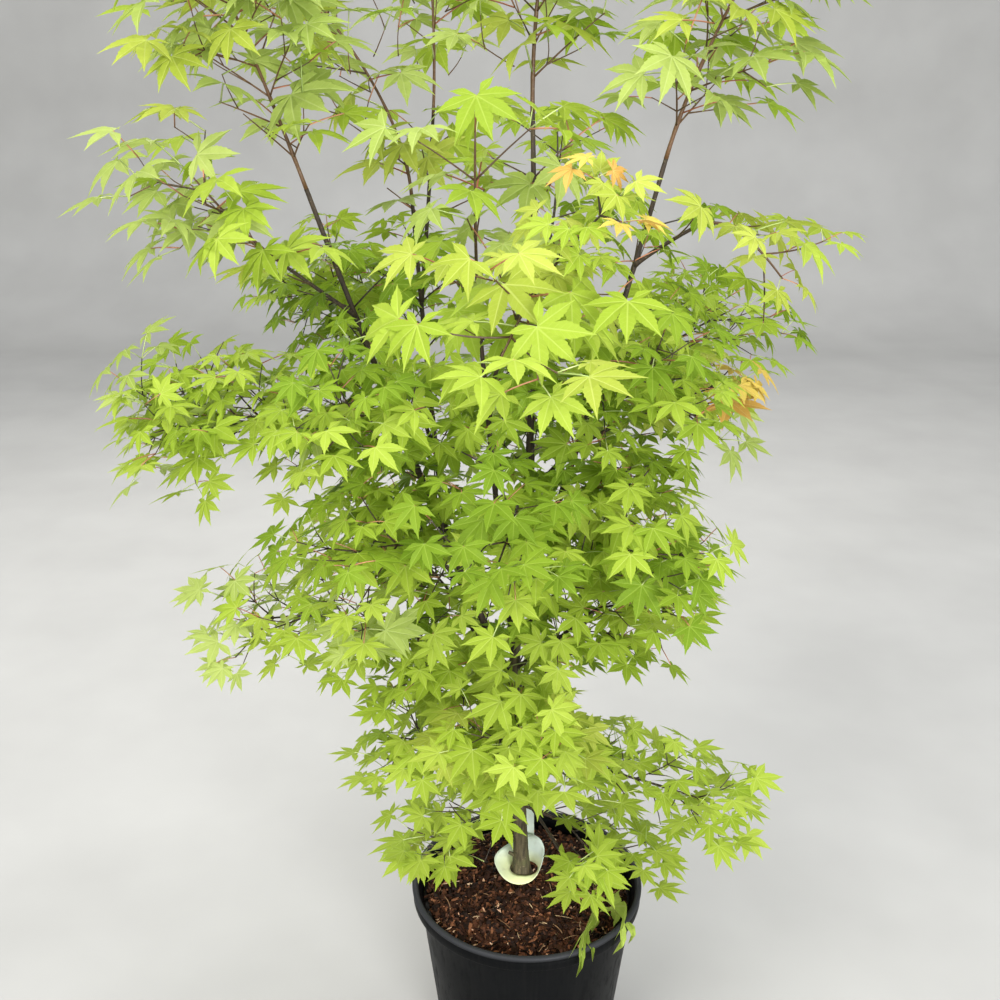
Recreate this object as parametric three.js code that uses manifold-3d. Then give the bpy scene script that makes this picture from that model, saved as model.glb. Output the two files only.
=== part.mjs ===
// A young japanese maple in a black nursery pot: one thin trunk that forks low into upright leaders,
// side boughs off them, and a vase-shaped crown of separate masses of five-lobed leaves.
// Millimetres, +Z up. The origin is the centre of the pot's flat underside, and -Y is the front.
// Bearings are degrees round the pot's axis from +X, reaches are distances from that axis, and
// heights are measured from the underside.
import * as THREE from 'three';
import { mergeVertices } from 'three/addons/utils/BufferGeometryUtils.js';
import Module from 'manifold-3d';

const wasm = await Module();
wasm.setup();
const { Manifold, Mesh: SolidMesh } = wasm;

// Gap between solids that touch on the real plant, and between the mulch and the pot's sloping wall
const GAP = 0.3;
const WALL_GAP = 0.5;

// Corners closer than this are one corner
const MERGE_DISTANCE = 1e-4;

// Pot
const POT = {
  height: 290,
  rimRadius: 175,
  rimBand: 24,
  rimRound: 4,
  bandSlope: 2,
  bodyTopRadius: 163,
  bottomRadius: 132,
  wall: 3,
  floor: 4,
  segments: 32,
};

// Bark mulch: level round the trunk, falling a little to the pot's wall
const MULCH = { height: 268, levelRadius: 70, shoulderRadius: 125, shoulderDrop: 2, edgeDrop: 6 };

// Trunk: foot on the mulch, root flare, then an even taper to the fork
const TRUNK = {
  bearing: 105,
  offset: 31,
  tipBearing: 112,
  tipOffset: 37,
  tipHeight: 760,
  lean: 16,
  base: 11.5,
  tip: 6.4,
  flare: 0.6,
  flareHeight: 22,
  buttresses: 5,
  buttressDepth: 0.16,
  sides: 12,
  steps: 14,
};

const BOUGH_SIDES = 6;

// Each bough: how far along its parent it starts, its tip (bearing, reach, height), how far its middle
// bows up (part of its length; minus starts it flat and ends it steep), and its radius at the start
const BOUGHS = [
  { name: 'left', from: 'trunk', at: 0.67, tip: [177, 280, 1313], bow: -0.05, base: 5.6 },
  { name: 'mid_left', from: 'left', at: 0.35, tip: [142, 200, 1290], bow: -0.1, base: 4 },
  { name: 'far_mid', from: 'mid_left', at: 0.7, tip: [125, 228, 1390], bow: -0.1, base: 2.9 },
  { name: 'centre', from: 'trunk', at: 1, tip: [90, 70, 1400], bow: 0, base: 6 },
  { name: 'right', from: 'trunk', at: 0.9, tip: [0, 160, 1350], bow: -0.07, base: 5.2 },
  { name: 'front', from: 'trunk', at: 0.79, tip: [230, 100, 1150], bow: -0.12, base: 4.6 },
  { name: 'upper_left', from: 'left', at: 0.78, tip: [185, 305, 1225], bow: 0, base: 2.7 },
  { name: 'far_left', from: 'left', at: 0.48, tip: [185, 255, 1005], bow: 0, base: 3.2 },
  { name: 'low_left', from: 'trunk', at: 0.58, tip: [197, 185, 730], bow: -0.05, base: 3.4 },
  { name: 'left_back', from: 'mid_left', at: 0.25, tip: [143, 215, 1055], bow: -0.06, base: 3 },
  { name: 'upper_right', from: 'right', at: 0.8, tip: [350, 200, 1275], bow: 0.04, base: 2.8 },
  { name: 'far_right', from: 'right', at: 0.42, tip: [350, 120, 1025], bow: 0, base: 3 },
  { name: 'mid_right', from: 'trunk', at: 0.74, tip: [345, 80, 745], bow: -0.05, base: 3.1 },
  { name: 'right_back', from: 'centre', at: 0.22, tip: [44, 180, 1025], bow: -0.05, base: 3.1 },
  { name: 'near_front', from: 'front', at: 0.82, tip: [267, 190, 1220], bow: 0.1, base: 2.6 },
  { name: 'mid_front', from: 'front', at: 0.45, tip: [260, 130, 945], bow: -0.05, base: 3 },
  { name: 'front_left', from: 'left', at: 0.22, tip: [222, 160, 875], bow: -0.05, base: 3.2 },
  { name: 'front_right', from: 'trunk', at: 0.85, tip: [303, 110, 850], bow: -0.05, base: 3.1 },
  { name: 'inner_left', from: 'left', at: 0.56, tip: [210, 212, 1055], bow: 0, base: 2.8 },
  { name: 'inner_right', from: 'right', at: 0.52, tip: [312, 125, 1095], bow: 0, base: 2.8 },
  { name: 'back', from: 'trunk', at: 0.82, tip: [88, 120, 860], bow: -0.08, base: 3.4 },
  { name: 'upper_back', from: 'centre', at: 0.65, tip: [80, 150, 1230], bow: -0.04, base: 2.8 },
  { name: 'low_back_left', from: 'trunk', at: 0.64, tip: [137, 130, 695], bow: -0.05, base: 3.2 },
  { name: 'low_back_right', from: 'trunk', at: 0.61, tip: [47, 125, 675], bow: -0.05, base: 3.1 },
];

// Radius of a bough's tip: a least value and a share of its radius at the start
const BOUGH_TIP = { least: 1.6, share: 0.22 };

// Each mass of leaves: its stem runs on from a bough's end, or leaves the trunk part of the way up, and
// ends at the tip (bearing, reach, height). Twigs reach up to the spread away from the stem, and an
// open mass has its twigs and leaves that many times further apart.
const MASSES = [
  { name: 'top_left', from: 'left', tip: [198, 385, 1620], spread: 105, open: 1.5 },
  { name: 'top_mid_left', from: 'mid_left', tip: [157, 345, 1580], spread: 105, open: 1.5 },
  { name: 'top_mid', from: 'far_mid', tip: [122, 262, 1680], spread: 95, open: 1.5 },
  { name: 'top_centre', from: 'centre', tip: [68, 100, 1750], spread: 105, open: 1.5 },
  { name: 'top_right', from: 'right', tip: [350, 275, 1620], spread: 105, open: 1.5 },
  { name: 'upper_front', from: 'front', tip: [245, 160, 1390], spread: 105 },
  { name: 'upper_left', from: 'upper_left', tip: [187, 410, 1340], spread: 100 },
  { name: 'far_left', from: 'far_left', tip: [186, 480, 1040], spread: 105 },
  { name: 'low_left', from: 'low_left', tip: [190, 388, 760], spread: 105 },
  { name: 'left_back', from: 'left_back', tip: [142, 430, 1150], spread: 115 },
  { name: 'upper_right', from: 'upper_right', tip: [350, 305, 1215], spread: 100 },
  { name: 'far_right', from: 'far_right', tip: [350, 235, 1035], spread: 95 },
  { name: 'mid_right', from: 'mid_right', tip: [348, 190, 765], spread: 95 },
  { name: 'right_back', from: 'right_back', tip: [40, 385, 1110], spread: 115 },
  { name: 'near_front', from: 'near_front', tip: [263, 360, 1185], spread: 105 },
  { name: 'mid_front', from: 'mid_front', tip: [262, 310, 950], spread: 120 },
  { name: 'front_left', from: 'front_left', tip: [225, 335, 925], spread: 110 },
  { name: 'front_right', from: 'front_right', tip: [303, 285, 925], spread: 105 },
  { name: 'inner_left', from: 'inner_left', tip: [222, 300, 1085], spread: 110 },
  { name: 'inner_right', from: 'inner_right', tip: [307, 240, 1120], spread: 110 },
  { name: 'back', from: 'back', tip: [90, 345, 960], spread: 120 },
  { name: 'upper_back', from: 'upper_back', tip: [82, 300, 1370], spread: 110 },
  { name: 'low_back_left', from: 'low_back_left', tip: [137, 330, 780], spread: 110 },
  { name: 'low_back_right', from: 'low_back_right', tip: [44, 300, 750], spread: 105 },
  { name: 'skirt_front', from: 'trunk', at: 0.52, tip: [262, 205, 655], spread: 110 },
  { name: 'skirt_left', from: 'trunk', at: 0.42, tip: [184, 185, 545], spread: 95 },
  { name: 'skirt_right', from: 'trunk', at: 0.46, tip: [350, 295, 450], spread: 95 },
  { name: 'skirt_back', from: 'trunk', at: 0.49, tip: [92, 225, 580], spread: 95 },
  { name: 'foot_left', from: 'trunk', at: 0.22, tip: [195, 155, 372], spread: 85 },
  { name: 'foot_right', from: 'trunk', at: 0.27, tip: [342, 175, 360], spread: 80 },
  { name: 'foot_front', from: 'trunk', at: 0.32, tip: [295, 165, 400], spread: 85 },
];

// Stem of a mass: its start radius and bow where it leaves the trunk, how far a stem that runs on from
// a limb keeps the limb's direction (part of its length), and its radius at the tip
const STEM = { base: 3, bow: 0.05, onward: 0.4, tip: 1.9 };

// Length of one straight step along a limb, along a stem, and along the lines that stand for both
// where room is measured
const STEPS = { limb: 75, stem: 60, line: 40 };

// Twigs of a mass: opposite pairs up the stem, each pair turned from the one below
const TWIGS = {
  pairSpacing: 54,
  firstPair: 0.2,
  lastPair: 0.86,
  turn: 90,
  turnJitter: 35,
  angle: 52,
  angleJitter: 10,
  shortening: 0.4,
  lengthJitter: 0.2,
  rise: 0.12,
  flatten: 0.7,
  base: 2.1,
  tip: 1.7,
  fatness: 1.5,
  fewestPairs: 2,
  fewestLeaves: 2,
  checks: [0.25, 0.5, 0.75, 1],
};

// Leaves: five lobes round the leaf stalk's end, drooping a little towards their tips
const LEAF = {
  stalk: 21,
  lobe: 63,
  lobeAngle: 42,
  lobeLengths: [1, 0.93, 0.7],
  notch: 0.4,
  thick: 2.6,
  thickest: 10,
  droop: 0.16,
  sizeJitter: 0.24,
  splay: 62,
  level: 0.5,
  hang: 20,
  hangShare: 0.8,
  hangJitter: 28,
  roll: 32,
  spacing: 32,
  apart: 3,
  farApart: 150,
  firstPair: 6,
  pairSpacing: 36.6,
  lastPair: 20,
  sunk: 1,
};

// Room that leaves and twigs keep: between masses, to limbs, and above the pot's rim
const ROOM = { mass: 4, limb: 2.5, rim: 14, twigStart: 10 };

// Plain plastic tie label: a flared band round the trunk's foot, resting on the mulch
const LABEL = {
  lowRadius: 30,
  highRadius: 37,
  height: 21,
  thick: 0.8,
  oval: 0.86,
  tilt: 6,
  turn: -14,
  sides: 18,
};

// Colour and roughness of each kind of part
const LOOKS = {
  pot: { name: 'pot', color: 0x1f2123, roughness: 0.45, metalness: 0 },
  mulch: { name: 'mulch', color: 0x43271a, roughness: 0.95, metalness: 0 },
  label: { name: 'label', color: 0xd9e3a8, roughness: 0.5, metalness: 0 },
  bark: { name: 'bark', color: 0x54473a, roughness: 0.85, metalness: 0 },
  bough: { name: 'bough', color: 0x4a3b30, roughness: 0.8, metalness: 0 },
  leaves: { name: 'leaves', color: 0x8fc22f, roughness: 0.6, metalness: 0 },
};

const degrees = THREE.MathUtils.degToRad;
const lerp = THREE.MathUtils.lerp;
const UP = new THREE.Vector3(0, 0, 1);

// Seeded random numbers from 0 to 1, the same on every run
function randomSeries(seed) {
  let state = seed >>> 0;
  return () => {
    state = (state + 0x6d2b79f5) >>> 0;
    let t = state;
    t = Math.imul(t ^ (t >>> 15), t | 1);
    t ^= t + Math.imul(t ^ (t >>> 7), t | 61);
    return ((t ^ (t >>> 14)) >>> 0) / 4294967296;
  };
}

// A value from minus a half to a half of the range
function jitter(random, range) {
  return range * (random() - 0.5);
}

function place(bearing, reach, height) {
  const angle = degrees(bearing);
  return new THREE.Vector3(reach * Math.cos(angle), reach * Math.sin(angle), height);
}

// A closed solid from a closed geometry
function toSolid(geometry) {
  const bare = geometry.index ? geometry.toNonIndexed() : geometry.clone();
  bare.deleteAttribute('normal');
  bare.deleteAttribute('uv');
  const merged = mergeVertices(bare, MERGE_DISTANCE);
  return new Manifold(new SolidMesh({
    numProp: 3,
    vertProperties: new Float32Array(merged.attributes.position.array),
    triVerts: new Uint32Array(merged.index.array),
  }));
}

// The largest closed body of a solid: loose scraps go, and a hollow that a join sealed is filled
function mainBody(solid) {
  const bodies = solid.decompose();
  return bodies.reduce((best, body) => (body.volume() > best.volume() ? body : best));
}

function toGeometry(solid) {
  const { numProp, vertProperties, triVerts } = solid.getMesh();
  const positions = new Float32Array((vertProperties.length / numProp) * 3);
  for (let i = 0; i * numProp < vertProperties.length; i += 1) {
    positions.set(vertProperties.subarray(i * numProp, i * numProp + 3), i * 3);
  }
  const geometry = new THREE.BufferGeometry();
  geometry.setAttribute('position', new THREE.BufferAttribute(positions, 3));
  geometry.setIndex(new THREE.BufferAttribute(new Uint32Array(triVerts), 1));
  geometry.computeVertexNormals();
  return geometry;
}

// A closed tube along a curve with a radius for every fraction of its length and every angle round it
function taperedTube(curve, radiusAt, sides, steps) {
  const frames = curve.computeFrenetFrames(steps, false);
  const positions = [];
  const index = [];
  const point = new THREE.Vector3();
  for (let i = 0; i <= steps; i += 1) {
    const centre = curve.getPointAt(i / steps);
    for (let j = 0; j < sides; j += 1) {
      const angle = (2 * Math.PI * j) / sides;
      const radius = radiusAt(i / steps, angle);
      point.copy(centre)
        .addScaledVector(frames.normals[i], radius * Math.cos(angle))
        .addScaledVector(frames.binormals[i], radius * Math.sin(angle));
      positions.push(...point.toArray());
    }
  }
  for (let i = 0; i < steps; i += 1) {
    for (let j = 0; j < sides; j += 1) {
      const low = i * sides + j;
      const lowNext = i * sides + ((j + 1) % sides);
      index.push(low, lowNext, lowNext + sides, low, lowNext + sides, low + sides);
    }
  }
  for (let j = 1; j < sides - 1; j += 1) {
    const last = steps * sides;
    index.push(0, j + 1, j, last, last + j, last + j + 1);
  }
  const geometry = new THREE.BufferGeometry();
  geometry.setAttribute('position', new THREE.Float32BufferAttribute(positions, 3));
  geometry.setIndex(index);
  return geometry;
}

// Centre line of the trunk: upright at its foot, with a slight lean to the left between foot and fork
function trunkCurve() {
  const foot = place(TRUNK.bearing, TRUNK.offset, MULCH.height + GAP);
  const tip = place(TRUNK.tipBearing, TRUNK.tipOffset, TRUNK.tipHeight);
  const rise = (tip.z - foot.z) / 3;
  const low = foot.clone().addScaledVector(UP, rise);
  const high = tip.clone().addScaledVector(UP, -rise);
  high.x -= TRUNK.lean;
  return new THREE.CubicBezierCurve3(foot, low, high, tip);
}

// Centre line of a limb from its start to its tip, bowed up or down at the middle
function bowedCurve(start, tip, bow) {
  const middle = start.clone().lerp(tip, 0.5);
  middle.addScaledVector(UP, bow * start.distanceTo(tip));
  return new THREE.QuadraticBezierCurve3(start, middle, tip);
}

// Centre line of a limb that runs on from its parent's end in the parent's own direction
function onwardCurve(start, direction, tip) {
  const middle = start.clone().addScaledVector(direction, STEM.onward * start.distanceTo(tip));
  return new THREE.QuadraticBezierCurve3(start, middle, tip);
}

// Straight lines along a curve, to measure room from
function linesAlong(curve) {
  const steps = Math.max(6, Math.round(curve.getLength() / STEPS.line));
  const points = curve.getSpacedPoints(steps);
  return points.slice(1).map((point, i) => new THREE.Line3(points[i], point));
}

const limbs = new Map();

function addLimb(name, curve, base, tip) {
  limbs.set(name, { curve, base, tip, lines: linesAlong(curve) });
}

// The trunk's radius: taper, root flare, and buttresses that fade out above the flare
function trunkRadius(fraction, angle) {
  const height = fraction * (TRUNK.tipHeight - MULCH.height);
  const flare = Math.exp(-height / TRUNK.flareHeight);
  const buttress = 1 + TRUNK.buttressDepth * flare * Math.cos(TRUNK.buttresses * angle);
  return lerp(TRUNK.base, TRUNK.tip, fraction) * (1 + TRUNK.flare * flare) * buttress;
}

function boughSolid({ curve, base, tip }, extra = 0) {
  const steps = Math.max(3, Math.round(curve.getLength() / STEPS.limb));
  const radius = (f) => lerp(base, tip, f) + extra;
  return toSolid(taperedTube(curve, radius, BOUGH_SIDES, steps));
}

function trunkSolid(extra = 0) {
  const radius = (f, angle) => trunkRadius(f, angle) + extra;
  return toSolid(taperedTube(limbs.get('trunk').curve, radius, TRUNK.sides, TRUNK.steps));
}

// The parent limb, grown by the gap that its children keep to it
function clearanceSolid(name) {
  const extra = GAP / Math.cos(Math.PI / BOUGH_SIDES);
  return name === 'trunk' ? trunkSolid(extra) : boughSolid(limbs.get(name), extra);
}

// Centre line of a bough or stem: it starts on its parent's centre line, or just past its parent's end
// and then runs on in the parent's direction
function curveFrom(parent, at, tip, bow) {
  const start = parent.curve.getPointAt(at);
  if (at < 1) {
    return bowedCurve(start, tip, bow);
  }
  const direction = parent.curve.getTangentAt(1);
  return onwardCurve(start.addScaledVector(direction, GAP), direction, tip);
}

function layOutLimbs() {
  addLimb('trunk', trunkCurve(), TRUNK.base, TRUNK.tip);
  for (const { name, from, at, tip, bow, base } of BOUGHS) {
    const curve = curveFrom(limbs.get(from), at, place(...tip), bow);
    addLimb(name, curve, base, BOUGH_TIP.least + BOUGH_TIP.share * base);
  }
}

function layOutMasses() {
  return MASSES.map((mass, number) => {
    const parent = limbs.get(mass.from);
    const at = mass.at ?? 1;
    const curve = curveFrom(parent, at, place(...mass.tip), STEM.bow);
    const base = at < 1 ? STEM.base : parent.tip;
    const stem = { curve, base, tip: STEM.tip, lines: linesAlong(curve) };
    return { ...mass, number, stem, open: mass.open ?? 1 };
  });
}

// Shortest distance from a point to a chain of lines
const nearest = new THREE.Vector3();
function distanceTo(lines, point) {
  let best = Infinity;
  for (const line of lines) {
    line.closestPointToPoint(point, true, nearest);
    best = Math.min(best, nearest.distanceTo(point));
  }
  return best;
}

// Whether a point lies in a mass's own space: nearer to its stem than to any other mass's
function inOwnSpace(mass, masses, point) {
  const own = distanceTo(mass.stem.lines, point);
  const nearerToOwn = (other) => distanceTo(other.stem.lines, point) > own + 2 * ROOM.mass;
  return own < mass.spread + LEAF.lobe && masses.every((other) => other === mass || nearerToOwn(other));
}

// Whether lines of a thickness keep clear of every limb
function clearOfLimbs(lines, thickness) {
  return [...limbs.values()].every((limb) => {
    const room = (limb.base + ROOM.limb + thickness) ** 2;
    return limb.lines.every((own) => lines.every((line) => own.distanceSqToLine3(line) > room));
  });
}

function aboveRim(point) {
  return point.z > POT.height + ROOM.rim;
}

// Side twigs of a mass, in opposite pairs that turn about the stem
function growTwigs(mass, masses) {
  const random = randomSeries(1000 + mass.number);
  const { curve } = mass.stem;
  const leafyLength = curve.getLength() * (TWIGS.lastPair - TWIGS.firstPair);
  const roomForPairs = Math.round(leafyLength / (TWIGS.pairSpacing * mass.open));
  const pairs = Math.max(TWIGS.fewestPairs, roomForPairs);
  const twigs = [];
  for (let pair = 0; pair < pairs; pair += 1) {
    const at = lerp(TWIGS.firstPair, TWIGS.lastPair, pair / (pairs - 1));
    const turn = degrees(TWIGS.turn * pair + jitter(random, TWIGS.turnJitter));
    const along = curve.getTangentAt(at);
    const across = along.clone().cross(UP).normalize().applyAxisAngle(along, turn);
    for (const side of [1, -1]) {
      const angle = degrees(TWIGS.angle + jitter(random, TWIGS.angleJitter));
      const shortened = mass.spread * (1 - TWIGS.shortening * at);
      const reach = shortened * (1 + jitter(random, TWIGS.lengthJitter));
      const heading = along.clone()
        .multiplyScalar(Math.cos(angle))
        .addScaledVector(across, side * Math.sin(angle));
      heading.z = heading.z * TWIGS.flatten + TWIGS.rise;
      heading.normalize();
      const start = curve.getPointAt(at);
      const end = start.clone().addScaledVector(heading, reach);
      const line = new THREE.Line3(start.clone().addScaledVector(heading, ROOM.twigStart), end);
      const points = TWIGS.checks.map((fraction) => start.clone().lerp(end, fraction));
      const fits = points.every((point) => inOwnSpace(mass, masses, point) && aboveRim(point));
      if (fits && clearOfLimbs([line], TWIGS.base)) {
        twigs.push({ curve: new THREE.LineCurve3(start, end), base: TWIGS.base, tip: TWIGS.tip });
      }
    }
  }
  return twigs;
}

// One leaf's frame: where its root sits on the twig, where it points and which way it faces. On an
// upright twig, every other pair is turned a quarter round.
function leafFrame(twig, at, side, quarters, random) {
  const along = twig.curve.getTangentAt(at);
  const turn = quarters * (Math.PI / 2) * along.z ** 2;
  const across = along.clone().cross(UP).normalize().applyAxisAngle(along, turn);
  const splay = degrees(side === 0 ? 0 : LEAF.splay);
  const heading = along.clone()
    .multiplyScalar(Math.cos(splay))
    .addScaledVector(across, side * Math.sin(splay));
  const hang = Math.tan(degrees(LEAF.hang + jitter(random, LEAF.hangJitter)));
  heading.z = heading.z * LEAF.level - LEAF.hangShare * hang * Math.hypot(heading.x, heading.y);
  heading.normalize();
  const face = UP.clone().addScaledVector(heading, -heading.z).normalize();
  face.applyAxisAngle(heading, degrees(jitter(random, LEAF.roll)));
  const size = 1 + jitter(random, LEAF.sizeJitter);
  const root = twig.curve.getPointAt(at).addScaledVector(heading, -LEAF.sunk);
  return { root, heading, face, size };
}

// Corners of a leaf: the root, then lobe tips with notches between them, round the stalk's end
function leafOutline({ root, heading, face, size }) {
  const side = face.clone().cross(heading);
  const centre = root.clone().addScaledVector(heading, LEAF.stalk * size);
  const corner = (angle, reach) => centre.clone()
    .addScaledVector(heading, reach * Math.cos(angle))
    .addScaledVector(side, reach * Math.sin(angle))
    .addScaledVector(face, -LEAF.droop * reach * (reach / LEAF.lobe));
  const corners = [root];
  for (let lobe = -2; lobe <= 2; lobe += 1) {
    const reach = LEAF.lobe * size * LEAF.lobeLengths[Math.abs(lobe)];
    corners.push(corner(degrees(lobe * LEAF.lobeAngle), reach));
    if (lobe < 2) {
      corners.push(corner(degrees((lobe + 0.5) * LEAF.lobeAngle), LEAF.lobe * size * LEAF.notch));
    }
  }
  return { centre, corners };
}

function leafSolid(frame) {
  const { corners } = leafOutline(frame);
  const thickest = frame.root.clone().addScaledVector(frame.heading, LEAF.thickest);
  const top = thickest.clone().addScaledVector(frame.face, LEAF.thick / 2);
  const under = thickest.clone().addScaledVector(frame.face, -LEAF.thick / 2);
  const positions = [...corners, top, under].flatMap((point) => point.toArray());
  const count = corners.length;
  const index = [];
  for (let i = 0; i < count; i += 1) {
    const next = (i + 1) % count;
    index.push(count, i, next, count + 1, next, i);
  }
  const geometry = new THREE.BufferGeometry();
  geometry.setAttribute('position', new THREE.Float32BufferAttribute(positions, 3));
  geometry.setIndex(index);
  return toSolid(geometry);
}

// Whether a leaf's spokes pass clear of the spokes of every leaf placed so far
const placed = [];
function clearOfLeaves(centre, spokes) {
  const room = LEAF.apart ** 2;
  return placed.every((other) => {
    const gap = other.centre.distanceTo(centre);
    const crossing = () => spokes.some((spoke) => (
      other.spokes.some((line) => line.distanceSqToLine3(spoke) < room)
    ));
    return gap > LEAF.farApart || (gap > LEAF.spacing && !crossing());
  });
}

// Leaves of one twig: a pair at each place on it and one at its end, where they have room
function growLeaves(mass, masses, twig, random) {
  const leaves = [];
  const length = twig.curve.getLength();
  const sites = [[1, 0, 0]];
  const spacing = LEAF.pairSpacing * mass.open;
  for (let pair = 0; LEAF.firstPair + pair * spacing < length - LEAF.lastPair; pair += 1) {
    const at = 1 - (LEAF.firstPair + pair * spacing) / length;
    sites.push([at, 1, pair % 2], [at, -1, pair % 2]);
  }
  for (const [at, side, quarters] of sites) {
    const frame = leafFrame(twig, at, side, quarters, random);
    const { centre, corners } = leafOutline(frame);
    const spokes = corners.map((corner) => new THREE.Line3(centre, corner));
    const fits = [centre, ...corners].every((p) => inOwnSpace(mass, masses, p) && aboveRim(p));
    if (fits && clearOfLeaves(centre, spokes) && clearOfLimbs(spokes, 0)) {
      placed.push({ centre, spokes });
      leaves.push(frame);
    }
  }
  return leaves;
}

// A three-sided twig, its radius grown so that its thickness is that of a round one
function twigSolid({ curve, base, tip }) {
  const steps = curve.isLineCurve3 ? 1 : Math.ceil(curve.getLength() / STEPS.stem);
  const radius = (f) => TWIGS.fatness * lerp(base, tip, f);
  return toSolid(taperedTube(curve, radius, 3, steps));
}

function massSolid(mass, masses) {
  const random = randomSeries(5000 + mass.number);
  const pieces = [twigSolid(mass.stem)];
  for (const twig of [mass.stem, ...growTwigs(mass, masses)]) {
    const leaves = growLeaves(mass, masses, twig, random);
    if (leaves.length >= TWIGS.fewestLeaves) {
      pieces.push(twigSolid(twig), ...leaves.map(leafSolid));
    } else {
      placed.length -= leaves.length;
    }
  }
  return mainBody(Manifold.union(pieces).subtract(clearanceSolid(mass.from)));
}

// A solid of revolution about +Z from radius and height pairs
function turned(profile, segments) {
  const points = profile.map(([radius, height]) => new THREE.Vector2(radius, height));
  const geometry = new THREE.LatheGeometry(points, segments);
  geometry.rotateX(Math.PI / 2);
  return geometry;
}

// Outer radius of the pot's tapering body at a height
function bodyRadius(height) {
  return lerp(POT.bottomRadius, POT.bodyTopRadius, height / (POT.height - POT.rimBand));
}

function potGeometry() {
  const band = POT.height - POT.rimBand;
  const outer = POT.rimRadius;
  const inner = POT.bodyTopRadius - POT.wall;
  const round = POT.rimRound;
  const profile = [
    [0, 0],
    [POT.bottomRadius - round, 0],
    [bodyRadius(round), round],
    [bodyRadius(band), band],
    [outer - POT.bandSlope, band],
    [outer, POT.height - round],
    [outer - round, POT.height],
    [inner + round, POT.height],
    [inner, POT.height - round],
    [inner, band],
    [bodyRadius(POT.floor) - POT.wall, POT.floor],
    [0, POT.floor],
  ];
  return turned(profile, POT.segments);
}

function mulchGeometry() {
  const band = POT.height - POT.rimBand;
  const edge = MULCH.height - MULCH.edgeDrop;
  const wallRadius = (height) => bodyRadius(height) - POT.wall - WALL_GAP;
  const profile = [
    [0, POT.floor + GAP],
    [wallRadius(POT.floor + GAP), POT.floor + GAP],
    [wallRadius(Math.min(edge, band)), Math.min(edge, band)],
    [MULCH.shoulderRadius, MULCH.height - MULCH.shoulderDrop],
    [MULCH.levelRadius, MULCH.height],
    [0, MULCH.height],
  ];
  return turned(profile, POT.segments);
}

function named(name, geometry, look) {
  const mesh = new THREE.Mesh(geometry, new THREE.MeshStandardMaterial(look));
  mesh.name = name;
  return mesh;
}

// The label's band, tilted, with its lowest point just above the mulch
function labelMesh() {
  const { lowRadius, highRadius, height, thick, oval, sides } = LABEL;
  const profile = [
    [lowRadius, 0],
    [highRadius, height],
    [highRadius - thick, height],
    [lowRadius - thick, 0],
    [lowRadius, 0],
  ];
  const geometry = turned(profile, sides);
  geometry.scale(1, oval, 1);
  const mesh = named('label', geometry, LOOKS.label);
  mesh.rotation.set(degrees(LABEL.tilt), 0, degrees(LABEL.turn));
  mesh.position.copy(place(TRUNK.bearing, TRUNK.offset, 0));
  mesh.updateMatrixWorld(true);
  const lowest = new THREE.Box3().setFromObject(mesh, true).min.z;
  mesh.position.z += MULCH.height + GAP - lowest;
  return mesh;
}

layOutLimbs();
const masses = layOutMasses();

const container = new THREE.Group();
container.add(named('pot', potGeometry(), LOOKS.pot));
container.add(named('mulch', mulchGeometry(), LOOKS.mulch));
container.add(labelMesh());

const tree = new THREE.Group();
tree.add(named('trunk', toGeometry(trunkSolid()), LOOKS.bark));
for (const bough of BOUGHS) {
  const whole = boughSolid(limbs.get(bough.name));
  const cut = mainBody(whole.subtract(clearanceSolid(bough.from)));
  tree.add(named(`bough_${bough.name}`, toGeometry(cut), LOOKS.bough));
}

const crown = new THREE.Group();
for (const mass of masses) {
  crown.add(named(`foliage_${mass.name}`, toGeometry(massSolid(mass, masses)), LOOKS.leaves));
}
tree.add(crown);

const plant = new THREE.Group();
plant.add(container, tree);

export default plant;
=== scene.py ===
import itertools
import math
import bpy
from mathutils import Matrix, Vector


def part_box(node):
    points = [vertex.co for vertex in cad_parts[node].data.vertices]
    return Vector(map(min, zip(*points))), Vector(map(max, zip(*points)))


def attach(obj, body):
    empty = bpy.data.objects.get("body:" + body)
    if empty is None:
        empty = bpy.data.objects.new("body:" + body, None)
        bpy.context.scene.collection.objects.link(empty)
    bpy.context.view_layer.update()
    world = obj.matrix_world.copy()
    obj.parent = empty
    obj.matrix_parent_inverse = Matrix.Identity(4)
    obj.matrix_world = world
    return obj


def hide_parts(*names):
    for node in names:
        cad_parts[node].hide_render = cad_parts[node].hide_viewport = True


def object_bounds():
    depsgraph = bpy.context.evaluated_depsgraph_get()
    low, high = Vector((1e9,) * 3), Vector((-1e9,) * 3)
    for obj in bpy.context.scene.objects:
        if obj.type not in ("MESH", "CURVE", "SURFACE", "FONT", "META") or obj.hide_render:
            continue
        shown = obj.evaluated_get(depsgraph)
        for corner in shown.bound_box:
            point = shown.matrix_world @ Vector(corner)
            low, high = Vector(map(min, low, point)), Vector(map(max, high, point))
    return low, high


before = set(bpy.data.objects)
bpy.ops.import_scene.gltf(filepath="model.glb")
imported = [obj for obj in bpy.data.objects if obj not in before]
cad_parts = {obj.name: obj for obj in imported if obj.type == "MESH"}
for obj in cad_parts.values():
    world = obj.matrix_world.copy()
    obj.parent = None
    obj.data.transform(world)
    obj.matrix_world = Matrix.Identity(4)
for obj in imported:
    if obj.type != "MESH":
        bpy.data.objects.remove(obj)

# A young japanese maple in a black nursery pot. The trunk and boughs get bark, each mass of foliage
# grows on from its stem by the same seeded rule as its solid, with finer twigs and true leaves, and
# the pot gets its rolled rim and its mulch of bark chips. Lengths are millimetres until a mesh is
# made, bearings are degrees round the pot's axis from +X, and -Y is the front.
from types import SimpleNamespace as Group

import bpy
import numpy as np
from mathutils import Euler, Vector, noise

MM = 0.001
TINY = 0.001
CAD_BOX = [list(corner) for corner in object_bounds()]
UP = np.array([0.0, 0.0, 1.0])
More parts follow.
